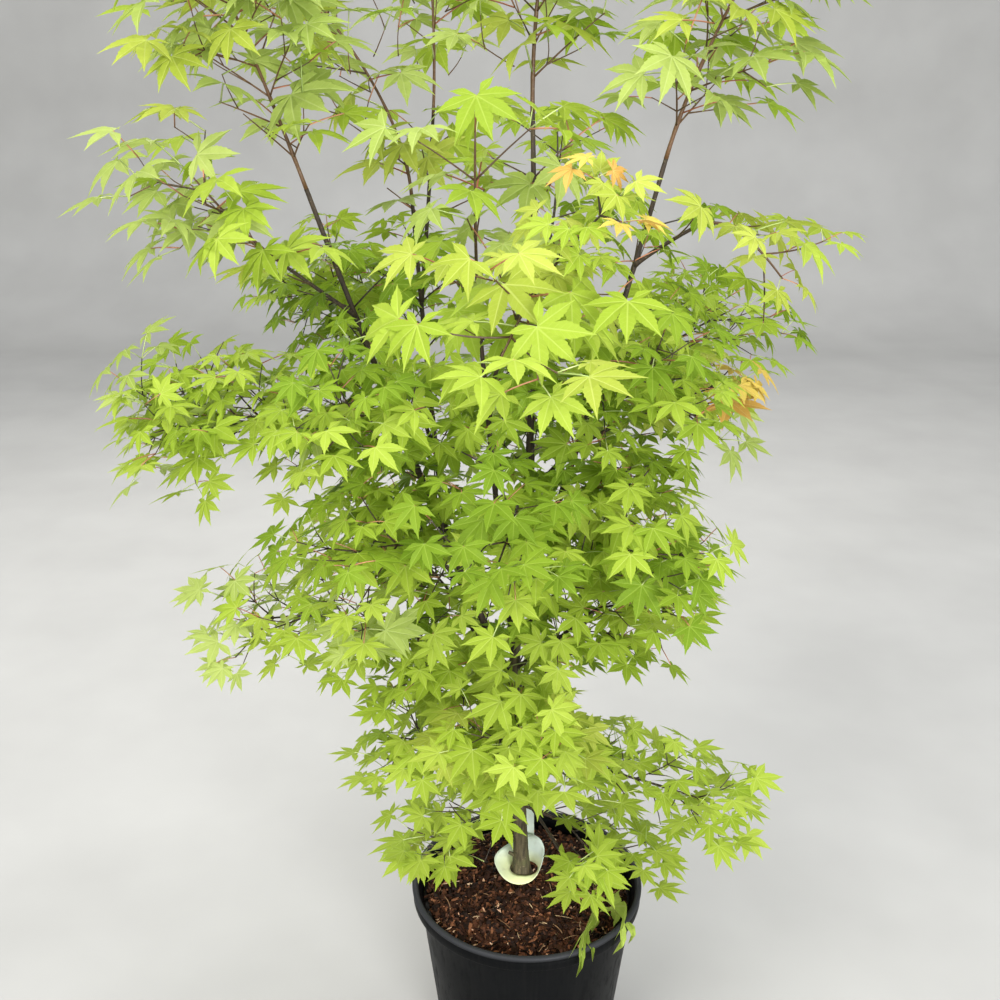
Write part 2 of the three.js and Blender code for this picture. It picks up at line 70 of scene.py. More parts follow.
# A direction no limb takes, from which a tube's rings are turned
ASKEW = (0.31, 0.95, 0.07)
# Seeds of the random series; a mass's or a shoot's own number is added to its two
SEEDS = Group(
    blades=77, crown=31, boughs=9, chips=404, straws=808, withered=12,
    mass_twigs=1000, mass_leaves=5000, shoot_twigs=2000, shoot_leaves=6000,
)


def box_mm(node):
    """A node's lowest and highest corners in millimetres."""
    low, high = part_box(node)
    return np.array(low) / MM, np.array(high) / MM


TRUNK_LOW, TRUNK_HIGH = box_mm("trunk")
TRUNK_AXIS = (TRUNK_LOW + TRUNK_HIGH) / 2
RIM_RADIUS, _, POT_HEIGHT = box_mm("pot")[1]
MULCH_RADIUS, _, MULCH_TOP = box_mm("mulch")[1]

# Camera, fitted to the pot's rim: its place in metres, how far it looks down, and its lens
CAMERA_PLACE = (-0.0408, -1.4806, 1.4762)
CAMERA_PITCH = 21
CAMERA_LENS = 42.48
SENSOR = 36

# Trunk, as in the solid: foot and tip (bearing, offset from the axis), lean, radii and root flare
TRUNK = Group(
    bearing=105, offset=31, tip_bearing=112, tip_offset=37, lean=16, base=11.5, tip=6.4,
    flare=0.6, flare_height=22, buttresses=5, buttress_depth=0.16,
)

# Boughs: name, parent, how far along it, tip (bearing, reach, height), bow and radius at the start,
# then the tip, spread, openness and leaf colours of the mass of foliage that grows from its end
BOUGHS = [
    ("left", "trunk", 0.67, (177, 280, 1313), -0.05, 5.6, (198, 385, 1620), 108, 1, "top"),
    ("mid_left", "left", 0.35, (142, 200, 1290), -0.1, 4, (157, 345, 1580), 105, 1, "top"),
    ("far_mid", "mid_left", 0.7, (125, 228, 1390), -0.1, 2.9, (122, 262, 1680), 95, 1, "top"),
    ("centre", "trunk", 1, (90, 70, 1400), 0, 6, (68, 100, 1750), 105, 1, "top"),
    ("right", "trunk", 0.9, (0, 160, 1350), -0.07, 5.2, (350, 275, 1620), 105, 1.1, "top"),
    ("front", "trunk", 0.79, (230, 100, 1150), -0.12, 4.6, (245, 160, 1390), 105, 1.7, "top"),
    ("upper_left", "left", 0.78, (185, 305, 1225), 0, 2.7, (187, 410, 1340), 100, 0.95, "top"),
    ("far_left", "left", 0.48, (185, 255, 1005), 0, 3.2, (186, 480, 1040), 108, 0.9, "side"),
    ("low_left", "trunk", 0.58, (197, 185, 730), -0.05, 3.4, (190, 388, 760), 105, 1.2, "side"),
    ("left_back", "mid_left", 0.25, (143, 215, 1055), -0.06, 3, (142, 430, 1150), 115, 1, "inner"),
    ("upper_right", "right", 0.8, (350, 200, 1275), 0.04, 2.8, (350, 305, 1215), 100, 1.45, "tinted"),
    ("far_right", "right", 0.42, (350, 120, 1025), 0, 3, (350, 235, 1035), 95, 1.35, "tinted"),
    ("mid_right", "trunk", 0.74, (345, 80, 745), -0.05, 3.1, (348, 190, 765), 95, 1, "side"),
    ("right_back", "centre", 0.22, (44, 180, 1025), -0.05, 3.1, (40, 385, 1110), 115, 1, "inner"),
    ("near_front", "front", 0.82, (267, 190, 1220), 0.1, 2.6, (263, 360, 1185), 105, 1.4, "bright"),
    ("mid_front", "front", 0.45, (260, 130, 945), -0.05, 3, (262, 310, 950), 120, 1.25, "core"),
    ("front_left", "left", 0.22, (222, 160, 875), -0.05, 3.2, (225, 335, 925), 110, 1.22, "core"),
    ("front_right", "trunk", 0.85, (303, 110, 850), -0.05, 3.1, (303, 285, 925), 105, 1.22, "core"),
    ("inner_left", "left", 0.56, (210, 212, 1055), 0, 2.8, (222, 300, 1085), 110, 1.15, "core"),
    ("inner_right", "right", 0.52, (312, 125, 1095), 0, 2.8, (307, 240, 1120), 110, 1.15, "core"),
    ("back", "trunk", 0.82, (88, 120, 860), -0.08, 3.4, (90, 345, 960), 120, 1.1, "inner"),
    ("upper_back", "centre", 0.65, (80, 150, 1230), -0.04, 2.8, (82, 300, 1370), 110, 1.7, "inner"),
    ("low_back_left", "trunk", 0.64, (137, 130, 695), -0.05, 3.2, (137, 330, 780), 110, 1, "inner"),
    ("low_back_right", "trunk", 0.61, (47, 125, 675), -0.05, 3.1, (44, 300, 750), 105, 1, "inner"),
]
BOUGH_TIP = Group(least=1.6, share=0.22)
# Names of the masses that don't have their bough's name, then the masses on the trunk: name, how
# far along it, tip, spread and openness
MASS_NAMES = dict(
    left="top_left", mid_left="top_mid_left", far_mid="top_mid", centre="top_centre",
    right="top_right", front="upper_front",
)
TRUNK_MASSES = [
    ("skirt_front", 0.52, (262, 205, 655), 110, 0.8),
    ("skirt_left", 0.42, (184, 185, 545), 95, 0.95),
    ("skirt_right", 0.46, (350, 295, 450), 95, 1.15),
    ("skirt_back", 0.49, (92, 225, 580), 95, 1),
    ("foot_left", 0.22, (195, 155, 372), 85, 1),
    ("foot_right", 0.27, (342, 175, 360), 80, 1),
    ("foot_front", 0.32, (295, 165, 400), 85, 1),
]
STEM = Group(base=3, bow=0.05, onward=0.4, tip=1.1)
YOUNG_PALETTES = ("top", "tinted", "bright")

# Twigs: the solid's rule with its pairs closer together, and one finer order that grows from each
TWIGS = Group(
    pair_spacing=(40, 38), first_pair=0.06, last_pair=0.92, turn=90, turn_jitter=35, angle=52,
    angle_jitter=22, shortening=0.4, length_jitter=0.35, rise=0.12, flatten=0.7, finer_reach=0.55,
    base=(1.25, 0.9), tip=(0.75, 0.6), bend=0.07, sag=0.5, probed=(0.3, 1, 5), open_limit=1.3,
    branching_length=45, coloured_at=0.8, ring_spacing=14, sides=6,
)
# Knots: how far they swell, how far apart they are, where the first one is and how long they are
TWIG_KNOTS = dict(swell=0.22, spacing=36, first=4, length=14)
BOUGH_KNOTS = dict(swell=0.1, spacing=62, first=30, length=16)

# Short leafy spurs in pairs along the boughs and the upper trunk, fuller on some boughs
SPURS = Group(first=0.3, last=0.97, trunk_first=0.5, room=150, high=1150)
LOW_SPURS = dict(open=1.6, spread=112, palette="core", kind="old")
HIGH_SPURS = dict(open=1.3, spread=98, palette="top", kind="young")
FULL_SPURS = ("far_left", "mid_right", "low_left", "inner_left", "inner_right")

# Shoots between the masses, the last two with tinted young leaves: parent, how far along it, tip,
# spread and colour mix
SHOOTS = (
    ("right", 0.3, (335, 160, 980), 85, "core"),
    ("left", 0.32, (195, 235, 955), 80, "core"),
    ("front_right", 0.5, (325, 175, 985), 80, "core"),
    ("near_front", 0.95, (285, 302, 1340), 50, "tip"),
    ("far_right", 0.9, (345, 258, 1090), 60, "tip"),
)
SHOOT_RADII = (1.7, 0.8)

# Leaves: opposite pairs on thin stalks, each blade with five or seven lobes
LEAF = Group(
    lobe=45, half_width=0.8, middle=0.4, stalk=36, stalk_radius=0.72, stalk_taper=1.35,
    stalk_rise=24, stalk_bend=0.6, stalk_bow=2, stalk_sides=3, size_jitter=0.36, splay=62,
    splay_jitter=30, level=0.5, slope=0.38, outward=0.9, tilt_jitter=50, roll=54, yaw=60,
    spacing=29, widest_spacing=62, pair_spacing=31, first_pair=4, last_pair=12, tip_pair=0.98,
    tip_size=0.82, room=63,
)
RED_STALKS = Group(share=0.45, height=600)
# Heights over the floor, with how far a blade leans outwards from level there, in degrees, and how
# fully its lobes droop
TILTS = ((300, 500, 800, 1200, 1600), (12, 17, 26, 31, 14))
DROOPS = ((500, 900, 1150, 1300), (0.35, 0.5, 1.0, 1.1))
ROOM = Group(mass=0.5, limb=1.2, rim=10)

# Mixes with leaves larger or smaller than the rest: large on the vigorous shoots, smaller on the
# old side boughs and the youngest tips
LEAF_SIZES = {"top": 1.4, "bright": 1.28, "tip": 0.78, "side": 0.92, "core": 0.92}

# Lines kept free of leaves, from a point to a point with a radius: two sight lines to the label
# and its tongue, one along the front of the mulch and one over the rim at the front right
CLEARINGS = (
    ((-18, 25, 280), (-28, -280, 520), 40),
    ((8, 75, 330), (2, -120, 470), 24),
    ((-110, -105, 285), (105, -120, 292), 58),
    ((70, -175, 340), (112, -160, 340), 42),
)

degrees = math.radians


def random_series(seed):
    """Seeded random numbers from 0 to 1, the same series as the solids' source has."""
    state, most = seed, 0xFFFFFFFF

    def draw():
        nonlocal state
        state = (state + 0x6D2B79F5) & most
        t = (state ^ (state >> 15)) * (state | 1) & most
        t ^= (t + (t ^ (t >> 7)) * (t | 61)) & most
        return (t ^ (t >> 14)) / (most + 1)

    return draw


def jitter(draw, width):
    return width * (draw() - 0.5)


def unit(vector):
    return vector / np.linalg.norm(vector)


def place(bearing, reach, height):
    angle = degrees(bearing)
    return np.array([reach * math.cos(angle), reach * math.sin(angle), height], float)


def direction(angle):
    return np.array([math.cos(angle), math.sin(angle)])


def between(low, high, share):
    return low + (high - low) * share


def any_of(items, draw):
    return items[int(draw() * len(items))]


def turned_about(vector, axis, angle):
    """The vector turned about a unit axis."""
    c, s = math.cos(angle), math.sin(angle)
    return vector * c + np.cross(axis, vector) * s + axis * np.dot(axis, vector) * (1 - c)


class Curve:
    """A Bezier curve by length: at(0) is its start and at(1) its end."""

    def __init__(self, *controls, steps=64):
        t = np.linspace(0, 1, steps + 1)[:, None]
        points = [np.repeat(np.array(c, float)[None], steps + 1, axis=0) for c in controls]
        while len(points) > 1:
            points = [a * (1 - t) + b * t for a, b in zip(points, points[1:])]
        self.points = points[0]
        gaps = np.linalg.norm(np.diff(self.points, axis=0), axis=1)
        self.lengths = np.concatenate([[0], np.cumsum(gaps)])
        self.length = self.lengths[-1]

    def at(self, fraction):
        wanted = np.asarray(fraction, float) * self.length
        return np.stack([np.interp(wanted, self.lengths, self.points[:, k]) for k in range(3)], axis=-1)

    def along(self, fraction, step=0.01):
        return unit(self.at(min(fraction + step, 1)) - self.at(max(fraction - step, 0)))


# Layout of the limbs and stems


def trunk_curve():
    foot = place(TRUNK.bearing, TRUNK.offset, TRUNK_LOW[2])
    tip = place(TRUNK.tip_bearing, TRUNK.tip_offset, TRUNK_HIGH[2])
    rise = (tip[2] - foot[2]) / 3
    high = tip - rise * UP - np.array([TRUNK.lean, 0, 0])
    return Curve(foot, foot + rise * UP, high, tip)


def curve_from(parent, at, tip, bow):
    """A bough or stem: bowed where it leaves its parent's side, running on where it leaves its end."""
    start = parent.curve.at(at)
    length = np.linalg.norm(tip - start)
    if at < 1:
        return Curve(start, (start + tip) / 2 + bow * length * UP, tip)
    return Curve(start, start + parent.curve.along(1) * STEM.onward * length, tip)


def lay_out_limbs():
    limbs = {"trunk": Group(curve=trunk_curve(), base=TRUNK.base, tip=TRUNK.tip)}
    for name, parent, at, tip, bow, base, *_ in BOUGHS:
        curve = curve_from(limbs[parent], at, place(*tip), bow)
        end = BOUGH_TIP.least + BOUGH_TIP.share * base
        limbs[name] = Group(curve=curve, base=base, tip=end, at=at)
    return limbs


def lay_out_masses(limbs):
    rows = [(MASS_NAMES.get(row[0], row[0]), row[0], 1, *row[6:]) for row in BOUGHS]
    rows += [(name, "trunk", at, *mass, "low") for name, at, *mass in TRUNK_MASSES]
    masses = []
    for number, (name, parent, at, tip, spread, openness, palette) in enumerate(rows):
        curve = curve_from(limbs[parent], at, place(*tip), STEM.bow)
        masses.append(Group(
            name=name, number=number, curve=curve, base=STEM.base if at < 1 else limbs[parent].tip,
            spread=spread, open=openness, palette=palette, near=None,
            kind="young" if palette in YOUNG_PALETTES else "old",
        ))
    return masses


LIMBS = lay_out_limbs()
STEMS = lay_out_masses(LIMBS)


def lines_of(curves, step=30):
    """Start points, steps and owners of the short lines that stand for curves."""
    starts, ends, owners = [], [], []
    for number, curve in enumerate(curves):
        points = curve.at(np.linspace(0, 1, max(6, int(curve.length / step)) + 1))
        starts.append(points[:-1])
        ends.append(points[1:])
        owners.append(np.full(len(points) - 1, number))
    starts = np.concatenate(starts)
    return starts, np.concatenate(ends) - starts, np.concatenate(owners)


STEM_LINES = lines_of([mass.curve for mass in STEMS])
LIMB_LINES = lines_of([limb.curve for limb in LIMBS.values()])
LIMB_ROOM = np.array([limb.base for limb in LIMBS.values()])[LIMB_LINES[2]]
BOX_LOW, BOX_HIGH = np.array(CAD_BOX) / MM


def clearing_lines():
    starts, ends, radii = (np.array(column, float) for column in zip(*CLEARINGS))
    return starts, ends - starts, radii


CLEARING_LINES = clearing_lines()


def distances(lines, points):
    """Distance from every point to every line."""
    starts, steps, _ = lines
    apart = points[:, None] - starts[None]
    share = np.clip((apart * steps).sum(-1) / (steps * steps).sum(-1), 0, 1)
    return np.linalg.norm(apart - share[..., None] * steps, axis=-1)


def in_own_space(mass, points):
    """Whether points lie nearer to a mass's own stem than to any other, or beside a spur's bough."""
    if mass.near:
        return bool((distances(mass.near, points).min(axis=1) < SPURS.room).all())
    found = distances(STEM_LINES, points)
    mine = STEM_LINES[2] == mass.number
    own = found[:, mine].min(axis=1)
    others = found[:, ~mine].min(axis=1)
    near = own < mass.spread + LEAF.room
    return bool((near & (others > own + 2 * ROOM.mass)).all())


def clear_of_limbs(points, thickness):
    return bool((distances(LIMB_LINES, points) > LIMB_ROOM + ROOM.limb + thickness).all())


def inside_plant(points):
    """Whether points stay over the pot's rim, in the solids' box and out of the clearings."""
    over_rim = points[:, 2].min() > POT_HEIGHT + ROOM.rim
    boxed = (points > BOX_LOW).all() and (points < BOX_HIGH).all()
    if not (over_rim and boxed):
        return False
    return bool((distances(CLEARING_LINES, points) > CLEARING_LINES[2]).all())


def fits(mass, points, thickness):
    return in_own_space(mass, points) and inside_plant(points) and clear_of_limbs(points, thickness)


# Growth of twigs and leaves


def grow_pairs(mass, curve, spread, order, draw):
    """Side twigs of a curve in opposite pairs that turn about it: the solids' rule."""
    leafy = curve.length * (TWIGS.last_pair - TWIGS.first_pair)
    pairs = max(1, round(leafy / (TWIGS.pair_spacing[order] * mass.open)))
    twigs = []
    for pair in range(pairs):
        at = between(TWIGS.first_pair, TWIGS.last_pair, (pair + 0.5) / pairs)
        turn = degrees(TWIGS.turn * pair + jitter(draw, TWIGS.turn_jitter))
        start, along = curve.at(at), curve.along(at)
        across = turned_about(unit(np.cross(along, UP)), along, turn)
        for side in (1, -1):
            angle = degrees(TWIGS.angle + jitter(draw, TWIGS.angle_jitter))
            reach = spread * (1 - TWIGS.shortening * at) * (1 + jitter(draw, TWIGS.length_jitter))
            heading = along * math.cos(angle) + across * side * math.sin(angle)
            heading[2] = heading[2] * TWIGS.flatten + TWIGS.rise
            end = start + unit(heading) * reach
            middle = (start + end) / 2 + TWIGS.bend * reach * (along - TWIGS.sag * UP)
            twig = Curve(start, middle, end, steps=12)
            if fits(mass, twig.at(np.linspace(*TWIGS.probed)), TWIGS.base[order]):
                twigs.append(twig)
    return twigs


def leaf_frame(twig, at, side, quarters, scale, draw):
    """Where a leaf's stalk starts and ends, and the blade's heading, face, size and droop."""
    along = twig.along(at)
    turn = quarters * math.pi / 2 * along[2] ** 2
    across = turned_about(unit(np.cross(along, UP)), along, turn)
    splay = degrees(LEAF.splay + jitter(draw, LEAF.splay_jitter)) if side else 0
    heading = along * math.cos(splay) + across * side * math.sin(splay)
    start = twig.at(at)
    heading[2] *= LEAF.level
    heading = unit(heading)
    rise = math.hypot(heading[0], heading[1]) * math.tan(degrees(LEAF.stalk_rise)) * draw()
    stalk_way = unit(heading + UP * rise)
    size = scale * (1 + jitter(draw, LEAF.size_jitter))
    base = start + stalk_way * LEAF.stalk * size
    outward = unit(np.array([base[0] - TRUNK_AXIS[0], base[1] - TRUNK_AXIS[1], 0]))
    lean = unit(outward * LEAF.outward + heading * (1, 1, 0) + TINY * UP)
    tilt = degrees(np.interp(base[2], *TILTS) + jitter(draw, LEAF.tilt_jitter))
    face = UP * math.cos(tilt) + lean * math.sin(tilt)
    face = turned_about(face, heading, degrees(jitter(draw, LEAF.roll)))
    way = heading - LEAF.slope * UP
    way = unit(way - face * np.dot(way, face))
    way = turned_about(way, face, degrees(jitter(draw, LEAF.yaw)))
    droop = np.interp(base[2], *DROOPS)
    return Group(
        start=start, stalk_way=stalk_way, base=base, way=way, face=face, size=size, droop=droop,
    )


PLACED = {}


def crowded(centre, wanted):
    """Whether another blade's middle lies nearer than wanted; notes this one where none does."""
    cell = tuple(int(v // LEAF.widest_spacing) for v in centre)
    for step in itertools.product((-1, 0, 1), repeat=3):
        for other in PLACED.get(tuple(c + s for c, s in zip(cell, step)), ()):
            if np.linalg.norm(other - centre) < wanted:
                return True
    PLACED.setdefault(cell, []).append(centre)
    return False


def grow_leaves(mass, twig, draw):
    """Leaves of one twig: a pair and one more at its tip, then opposite pairs towards its foot."""
    large = LEAF_SIZES.get(mass.palette, 1)
    spacing = LEAF.pair_spacing * mass.open * large
    sites = [(1, 0, 0), (LEAF.tip_pair, 1, 1), (LEAF.tip_pair, -1, 1)]
    distance = LEAF.first_pair + spacing
    while distance < twig.length - LEAF.last_pair:
        quarters = len(sites) % 4 // 2
        sites += [(1 - distance / twig.length, side, quarters) for side in (1, -1)]
        distance += spacing
    leaves = []
    for at, side, quarters in sites:
        scale = large * (LEAF.tip_size if at >= LEAF.tip_pair else 1)
        leaf = leaf_frame(twig, at, side, quarters, scale, draw)
        base, way = leaf.base, leaf.way
        reach = LEAF.lobe * leaf.size
        sideways = LEAF.half_width * np.cross(leaf.face, way)
        points = np.array([base, *(base + reach * v for v in (way, sideways, -sideways))])
        spacing_here = LEAF.spacing * large * mass.open ** 0.5
        if fits(mass, points, 0) and not crowded(base + LEAF.middle * reach * way, spacing_here):
            leaves.append(leaf)
    return leaves


# Colour mixes: the share of each leaf colour among a mass's sprays. More of the darker mid colour in the
# core and inner mixes is painted shade of the crown's middle and back, and the pale colour in the top,
# side and tinted mixes is painted sky reflection and painted light through the upper and outer leaves
PALETTES = {
    # painted sky reflection: half of the top leaves get the pale colour
    "top": (("pale", 0.5), ("fresh", 0.15), ("lime", 0.2), ("bright", 0.15)),
    "bright": (("bright", 0.6), ("lime", 0.4)),
    # painted sky reflection: the pale colour on the outer side masses
    "side": (("lime", 0.35), ("pale", 0.35), ("fresh", 0.3)),
    # painted shade: the darker mid colour for the crown's middle
    "core": (("fresh", 0.4), ("mid", 0.35), ("lime", 0.25)),
    "tinted": (("lime", 0.4), ("fresh", 0.25), ("bright", 0.2), ("pale", 0.15)),
    "tip": (("bright", 0.8), ("lime", 0.2)),
    # painted shade: the darker mid colour for the crown's back
    "inner": (("fresh", 0.4), ("mid", 0.4), ("lime", 0.2)),
    "low": (("lime", 0.85), ("bright", 0.05), ("fresh", 0.1)),
}

# Tints with a place: bearing, reach and height of their middle, how far they go, and the colour
TINTS = (((285, 302, 1340), 36, "amber"), ((345, 262, 1090), 36, "amber"))


def pick(palette, value, spot):
    """The colour of a spray at a spot: a tint's where one reaches it, else one of its mix."""
    for middle, reach, colour in TINTS:
        if np.linalg.norm(place(*middle) - spot) < reach:
            return colour
    for colour, share in PALETTES[palette]:
        value -= share
        if value <= 0:
            return colour
    return PALETTES[palette][0][0]


def grow_spray(mass, twig, draws, tubes, leaves):
    """Leaves of a twig and of the finer twigs on it, all of one colour."""
    twig_draw, leaf_draw = draws
    spray = [twig]
    if mass.open < TWIGS.open_limit and twig.length > TWIGS.branching_length:
        spray += grow_pairs(mass, twig, mass.spread * TWIGS.finer_reach, 1, twig_draw)
    colour = pick(mass.palette, leaf_draw(), twig.at(TWIGS.coloured_at))
    for order, part in enumerate(spray):
        found = grow_leaves(mass, part, leaf_draw)
        if found:
            leaves.setdefault(colour, []).extend(found)
            fineness = min(order, 1)
            tubes.append((mass.kind, part, TWIGS.base[fineness], TWIGS.tip[fineness]))


def leafy_shoots():
    """The boughs' outer parts, which carry spurs, and the shoots between the masses."""
    found = []
    for name, limb in LIMBS.items():
        first = SPURS.trunk_first if name == "trunk" else SPURS.first
        curve = Curve(*limb.curve.at(np.linspace(first, SPURS.last, 4)))
        style = dict(HIGH_SPURS if curve.at(0.5)[2] > SPURS.high else LOW_SPURS, stem=False)
        if name in FULL_SPURS:
            style["open"] = 1
        found.append((curve, Group(**style, near=lines_of([limb.curve]))))
    for parent, at, tip, spread, palette in SHOOTS:
        curve = curve_from(LIMBS[parent], at, place(*tip), STEM.bow)
        style = dict(LOW_SPURS, open=1, spread=spread, palette=palette, stem=True)
        found.append((curve, Group(**style, near=lines_of([curve]))))
    return found


def series_pair(twigs, leaves, number):
    return random_series(twigs + number), random_series(leaves + number)


def grow_crown():
    """All stems, twigs and leaves: (kind, curve, base, tip) tubes and leaves by colour."""
    tubes, leaves = [], {}
    for mass in STEMS:
        draws = series_pair(SEEDS.mass_twigs, SEEDS.mass_leaves, mass.number)
        curve = mass.curve
        tubes.append((mass.kind, curve, mass.base, STEM.tip))
        colour = pick(mass.palette, draws[1](), curve.at(TWIGS.coloured_at))
        leaves.setdefault(colour, []).extend(grow_leaves(mass, curve, draws[1]))
        for twig in grow_pairs(mass, curve, mass.spread, 0, draws[0]):
            grow_spray(mass, twig, draws, tubes, leaves)
    for number, (curve, style) in enumerate(leafy_shoots()):
        draws = series_pair(SEEDS.shoot_twigs, SEEDS.shoot_leaves, number)
        for twig in grow_pairs(style, curve, style.spread, 0, draws[0]):
            grow_spray(style, twig, draws, tubes, leaves)
        if style.stem:
            tubes.append((style.kind, curve, *SHOOT_RADII))
            grow_spray(style, curve, draws, tubes, leaves)
    return tubes, leaves


# Meshes


def add_object(name, data):
    made = bpy.data.objects.new(name, data)
    bpy.context.scene.collection.objects.link(made)
    return made


class Batch:
    """Many like shapes joined into one mesh, each with its own shade from 0 to 1."""

    def __init__(self):
        self.points, self.faces, self.shades, self.uvs = [], [], [], []
        self.count = 0

    def add(self, points, faces, shade=0.5, uvs=None):
        self.points.append(points)
        self.faces += [tuple(int(i) + self.count for i in face) for face in faces]
        self.shades.append(np.full(len(points), shade))
        self.count += len(points)
        if uvs is not None:
            self.uvs.append(uvs)

    def make(self, name, look, slot, replaced=(), smooth=True):
        mesh = bpy.data.meshes.new(name)
        mesh.from_pydata((np.concatenate(self.points) * MM).tolist(), [], self.faces)
        shade = mesh.attributes.new("shade", "FLOAT", "POINT")
        shade.data.foreach_set("value", np.concatenate(self.shades).astype(np.float32))
        if self.uvs:
            layer = mesh.uv_layers.new(name="UVMap")
            layer.data.foreach_set("uv", np.concatenate(self.uvs).astype(np.float32).ravel())
        mesh.materials.append(look)
        if smooth:
            mesh.shade_smooth()
        else:
            mesh.shade_flat()
        mesh.update()
        piece = add_object(name, mesh)
        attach(piece, "root")
        if replaced:
            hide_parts(*replaced)


def make_piece(name, shape, look, slot, replaced=(), smooth=True):
    """A piece of one shape, given as what Batch.add takes."""
    batch = Batch()
    batch.add(*shape)
    batch.make(name, look, slot, replaced, smooth)


def skin_faces(rings, sides, closed=False, flipped=False):
    """Faces over rings of points that follow one another, with a cap at each end unless closed."""
    faces = []
    for ring in range(rings if closed else rings - 1):
        low, high = ring * sides, (ring + 1) % rings * sides
        for j in range(sides):
            k = (j + 1) % sides
            face = (low + j, low + k, high + k, high + j)
            faces.append((face[0], *face[:0:-1]) if flipped else face)
    if not closed:
        last = (rings - 1) * sides
        caps = range(sides - 1, -1, -1), range(last, last + sides)
        faces += [tuple(cap[::-1] if flipped else cap) for cap in caps]
    return faces


def ring_angles(sides):
    return np.arange(sides) * 2 * math.pi / sides


def tube(points, radii, sides, relief=None):
    """Points and faces of a closed tube of one radius or many; relief(i, angles) may vary them."""
    tangents = np.gradient(points, axis=0)
    tangents /= np.linalg.norm(tangents, axis=1)[:, None]
    normal = unit(np.cross(tangents[0], ASKEW))
    angles = ring_angles(sides)
    radii = np.broadcast_to(radii, len(points))
    rings = []
    for i, (point, along) in enumerate(zip(points, tangents)):
        normal = unit(normal - along * np.dot(normal, along))
        other = np.cross(along, normal)
        radius = radii[i] * (np.ones(sides) if relief is None else relief(i, angles))
        ring = np.outer(np.cos(angles), normal) + np.outer(np.sin(angles), other)
        rings.append(point + ring * radius[:, None])
    return np.concatenate(rings), skin_faces(len(points), sides)


# Leaf blades

# Lobes of a blade: angles from its middle lobe, and lengths as shares of it
SEVEN_LOBES = ((-126, 0.52), (-82, 0.82), (-40, 0.96), (0, 1), (40, 0.96), (82, 0.82), (126, 0.52))
FIVE_LOBES = ((-98, 0.68), (-47, 0.92), (0, 1), (47, 0.92), (98, 0.68))

# One side of a lobe: its toothed edge from notch to tip, along and across the lobe, then where the
# points on its midrib are
LOBE_EDGE = (
    (0.50, 0.176), (0.52, 0.154), (0.60, 0.164), (0.62, 0.136), (0.72, 0.126), (0.74, 0.098),
    (0.83, 0.074), (0.85, 0.050),
)
LOBE_RIBS = (0.38, 0.70)
BLADE = Group(
    angle_jitter=7, length_jitter=0.16, fold=0.22, droop=0.16, droop_jitter=1.4, droop_power=2.4,
    notch=0.40, notch_jitter=0.2, cup=0.10, tip=1.06, foot=-0.05, variants=10, seven_lobed=7,
)


def blade_template(lobes, draw):
    """Points, faces and vein coordinates of one blade of unit length: its stalk end at the origin."""
    angles = [degrees(a + jitter(draw, BLADE.angle_jitter)) for a, _ in lobes]
    lengths = [length * (1 + jitter(draw, BLADE.length_jitter)) for _, length in lobes]
    droops = [BLADE.droop * (1 + jitter(draw, BLADE.droop_jitter)) for _ in lobes]
    axes = [direction(angle) for angle in angles]
    normals = [np.array([-y, x]) for x, y in axes]
    points, faces, uvs = [(0.0, 0.0, 0.0)], [], []

    def add(spot, height):
        points.append((*spot, height))
        return len(points) - 1

    def put(lobe, u, v):
        """A point of a lobe, u along it and v across it, with the fold and the droop."""
        spot = axes[lobe] * u + normals[lobe] * v
        height = BLADE.fold * abs(v) - droops[lobe] * u ** BLADE.droop_power
        return add(spot * lengths[lobe], height * lengths[lobe])

    notches = [add(axes[0] * BLADE.foot, 0)]
    for k in range(len(lobes) - 1):
        depth = BLADE.notch * min(lengths[k], lengths[k + 1]) * (1 + jitter(draw, BLADE.notch_jitter))
        notches.append(add(direction((angles[k] + angles[k + 1]) / 2) * depth, BLADE.cup * depth))
    notches.append(notches[0])

    for lobe, length in enumerate(lengths):
        rib_low, rib_high = (put(lobe, u, 0) for u in LOBE_RIBS)
        tip = put(lobe, BLADE.tip, 0)
        for side, notch in ((-1, notches[lobe]), (1, notches[lobe + 1])):
            edge = [put(lobe, u, side * v) for u, v in LOBE_EDGE]
            fan = [(0, rib_low, notch)]
            fan += [(a, rib_low, b) for a, b in zip([notch, *edge], edge[:3])]
            fan += [(edge[2], rib_low, rib_high)]
            fan += [(a, rib_high, b) for a, b in zip(edge[2:], [*edge[3:], tip])]
            for face in fan:
                ordered = face if side > 0 else face[::-1]
                faces.append(ordered)
                for corner in ordered:
                    spot = np.array(points[corner][:2]) / length
                    uvs.append((np.dot(spot, axes[lobe]), abs(np.dot(spot, normals[lobe]))))
    return np.array(points), np.array(faces), np.array(uvs)


def blade_templates():
    draw = random_series(SEEDS.blades)
    kinds = [
        SEVEN_LOBES if number < BLADE.seven_lobed else FIVE_LOBES
        for number in range(BLADE.variants)
    ]
    return [blade_template(lobes, draw) for lobes in kinds]


def stand_blade(template, leaf):
    """A template's points turned into a leaf's frame."""
    across = np.cross(leaf.face, leaf.way)
    size = LEAF.lobe * leaf.size
    matrix = np.array([leaf.way, across, leaf.face * leaf.droop]) * size
    return leaf.base + template @ matrix


def stalk_points(leaf):
    reach = LEAF.stalk * leaf.size * LEAF.stalk_bend
    bend = leaf.start + leaf.stalk_way * reach + UP * LEAF.stalk_bow
    return Curve(leaf.start, bend, leaf.base, steps=3).points


def knotted(distance, swell, spacing, first, length):
    """How much thicker a limb is at distances along it, with its evenly spaced knots."""
    return 1 + swell * np.exp(-(distance % spacing - first) ** 2 / length)


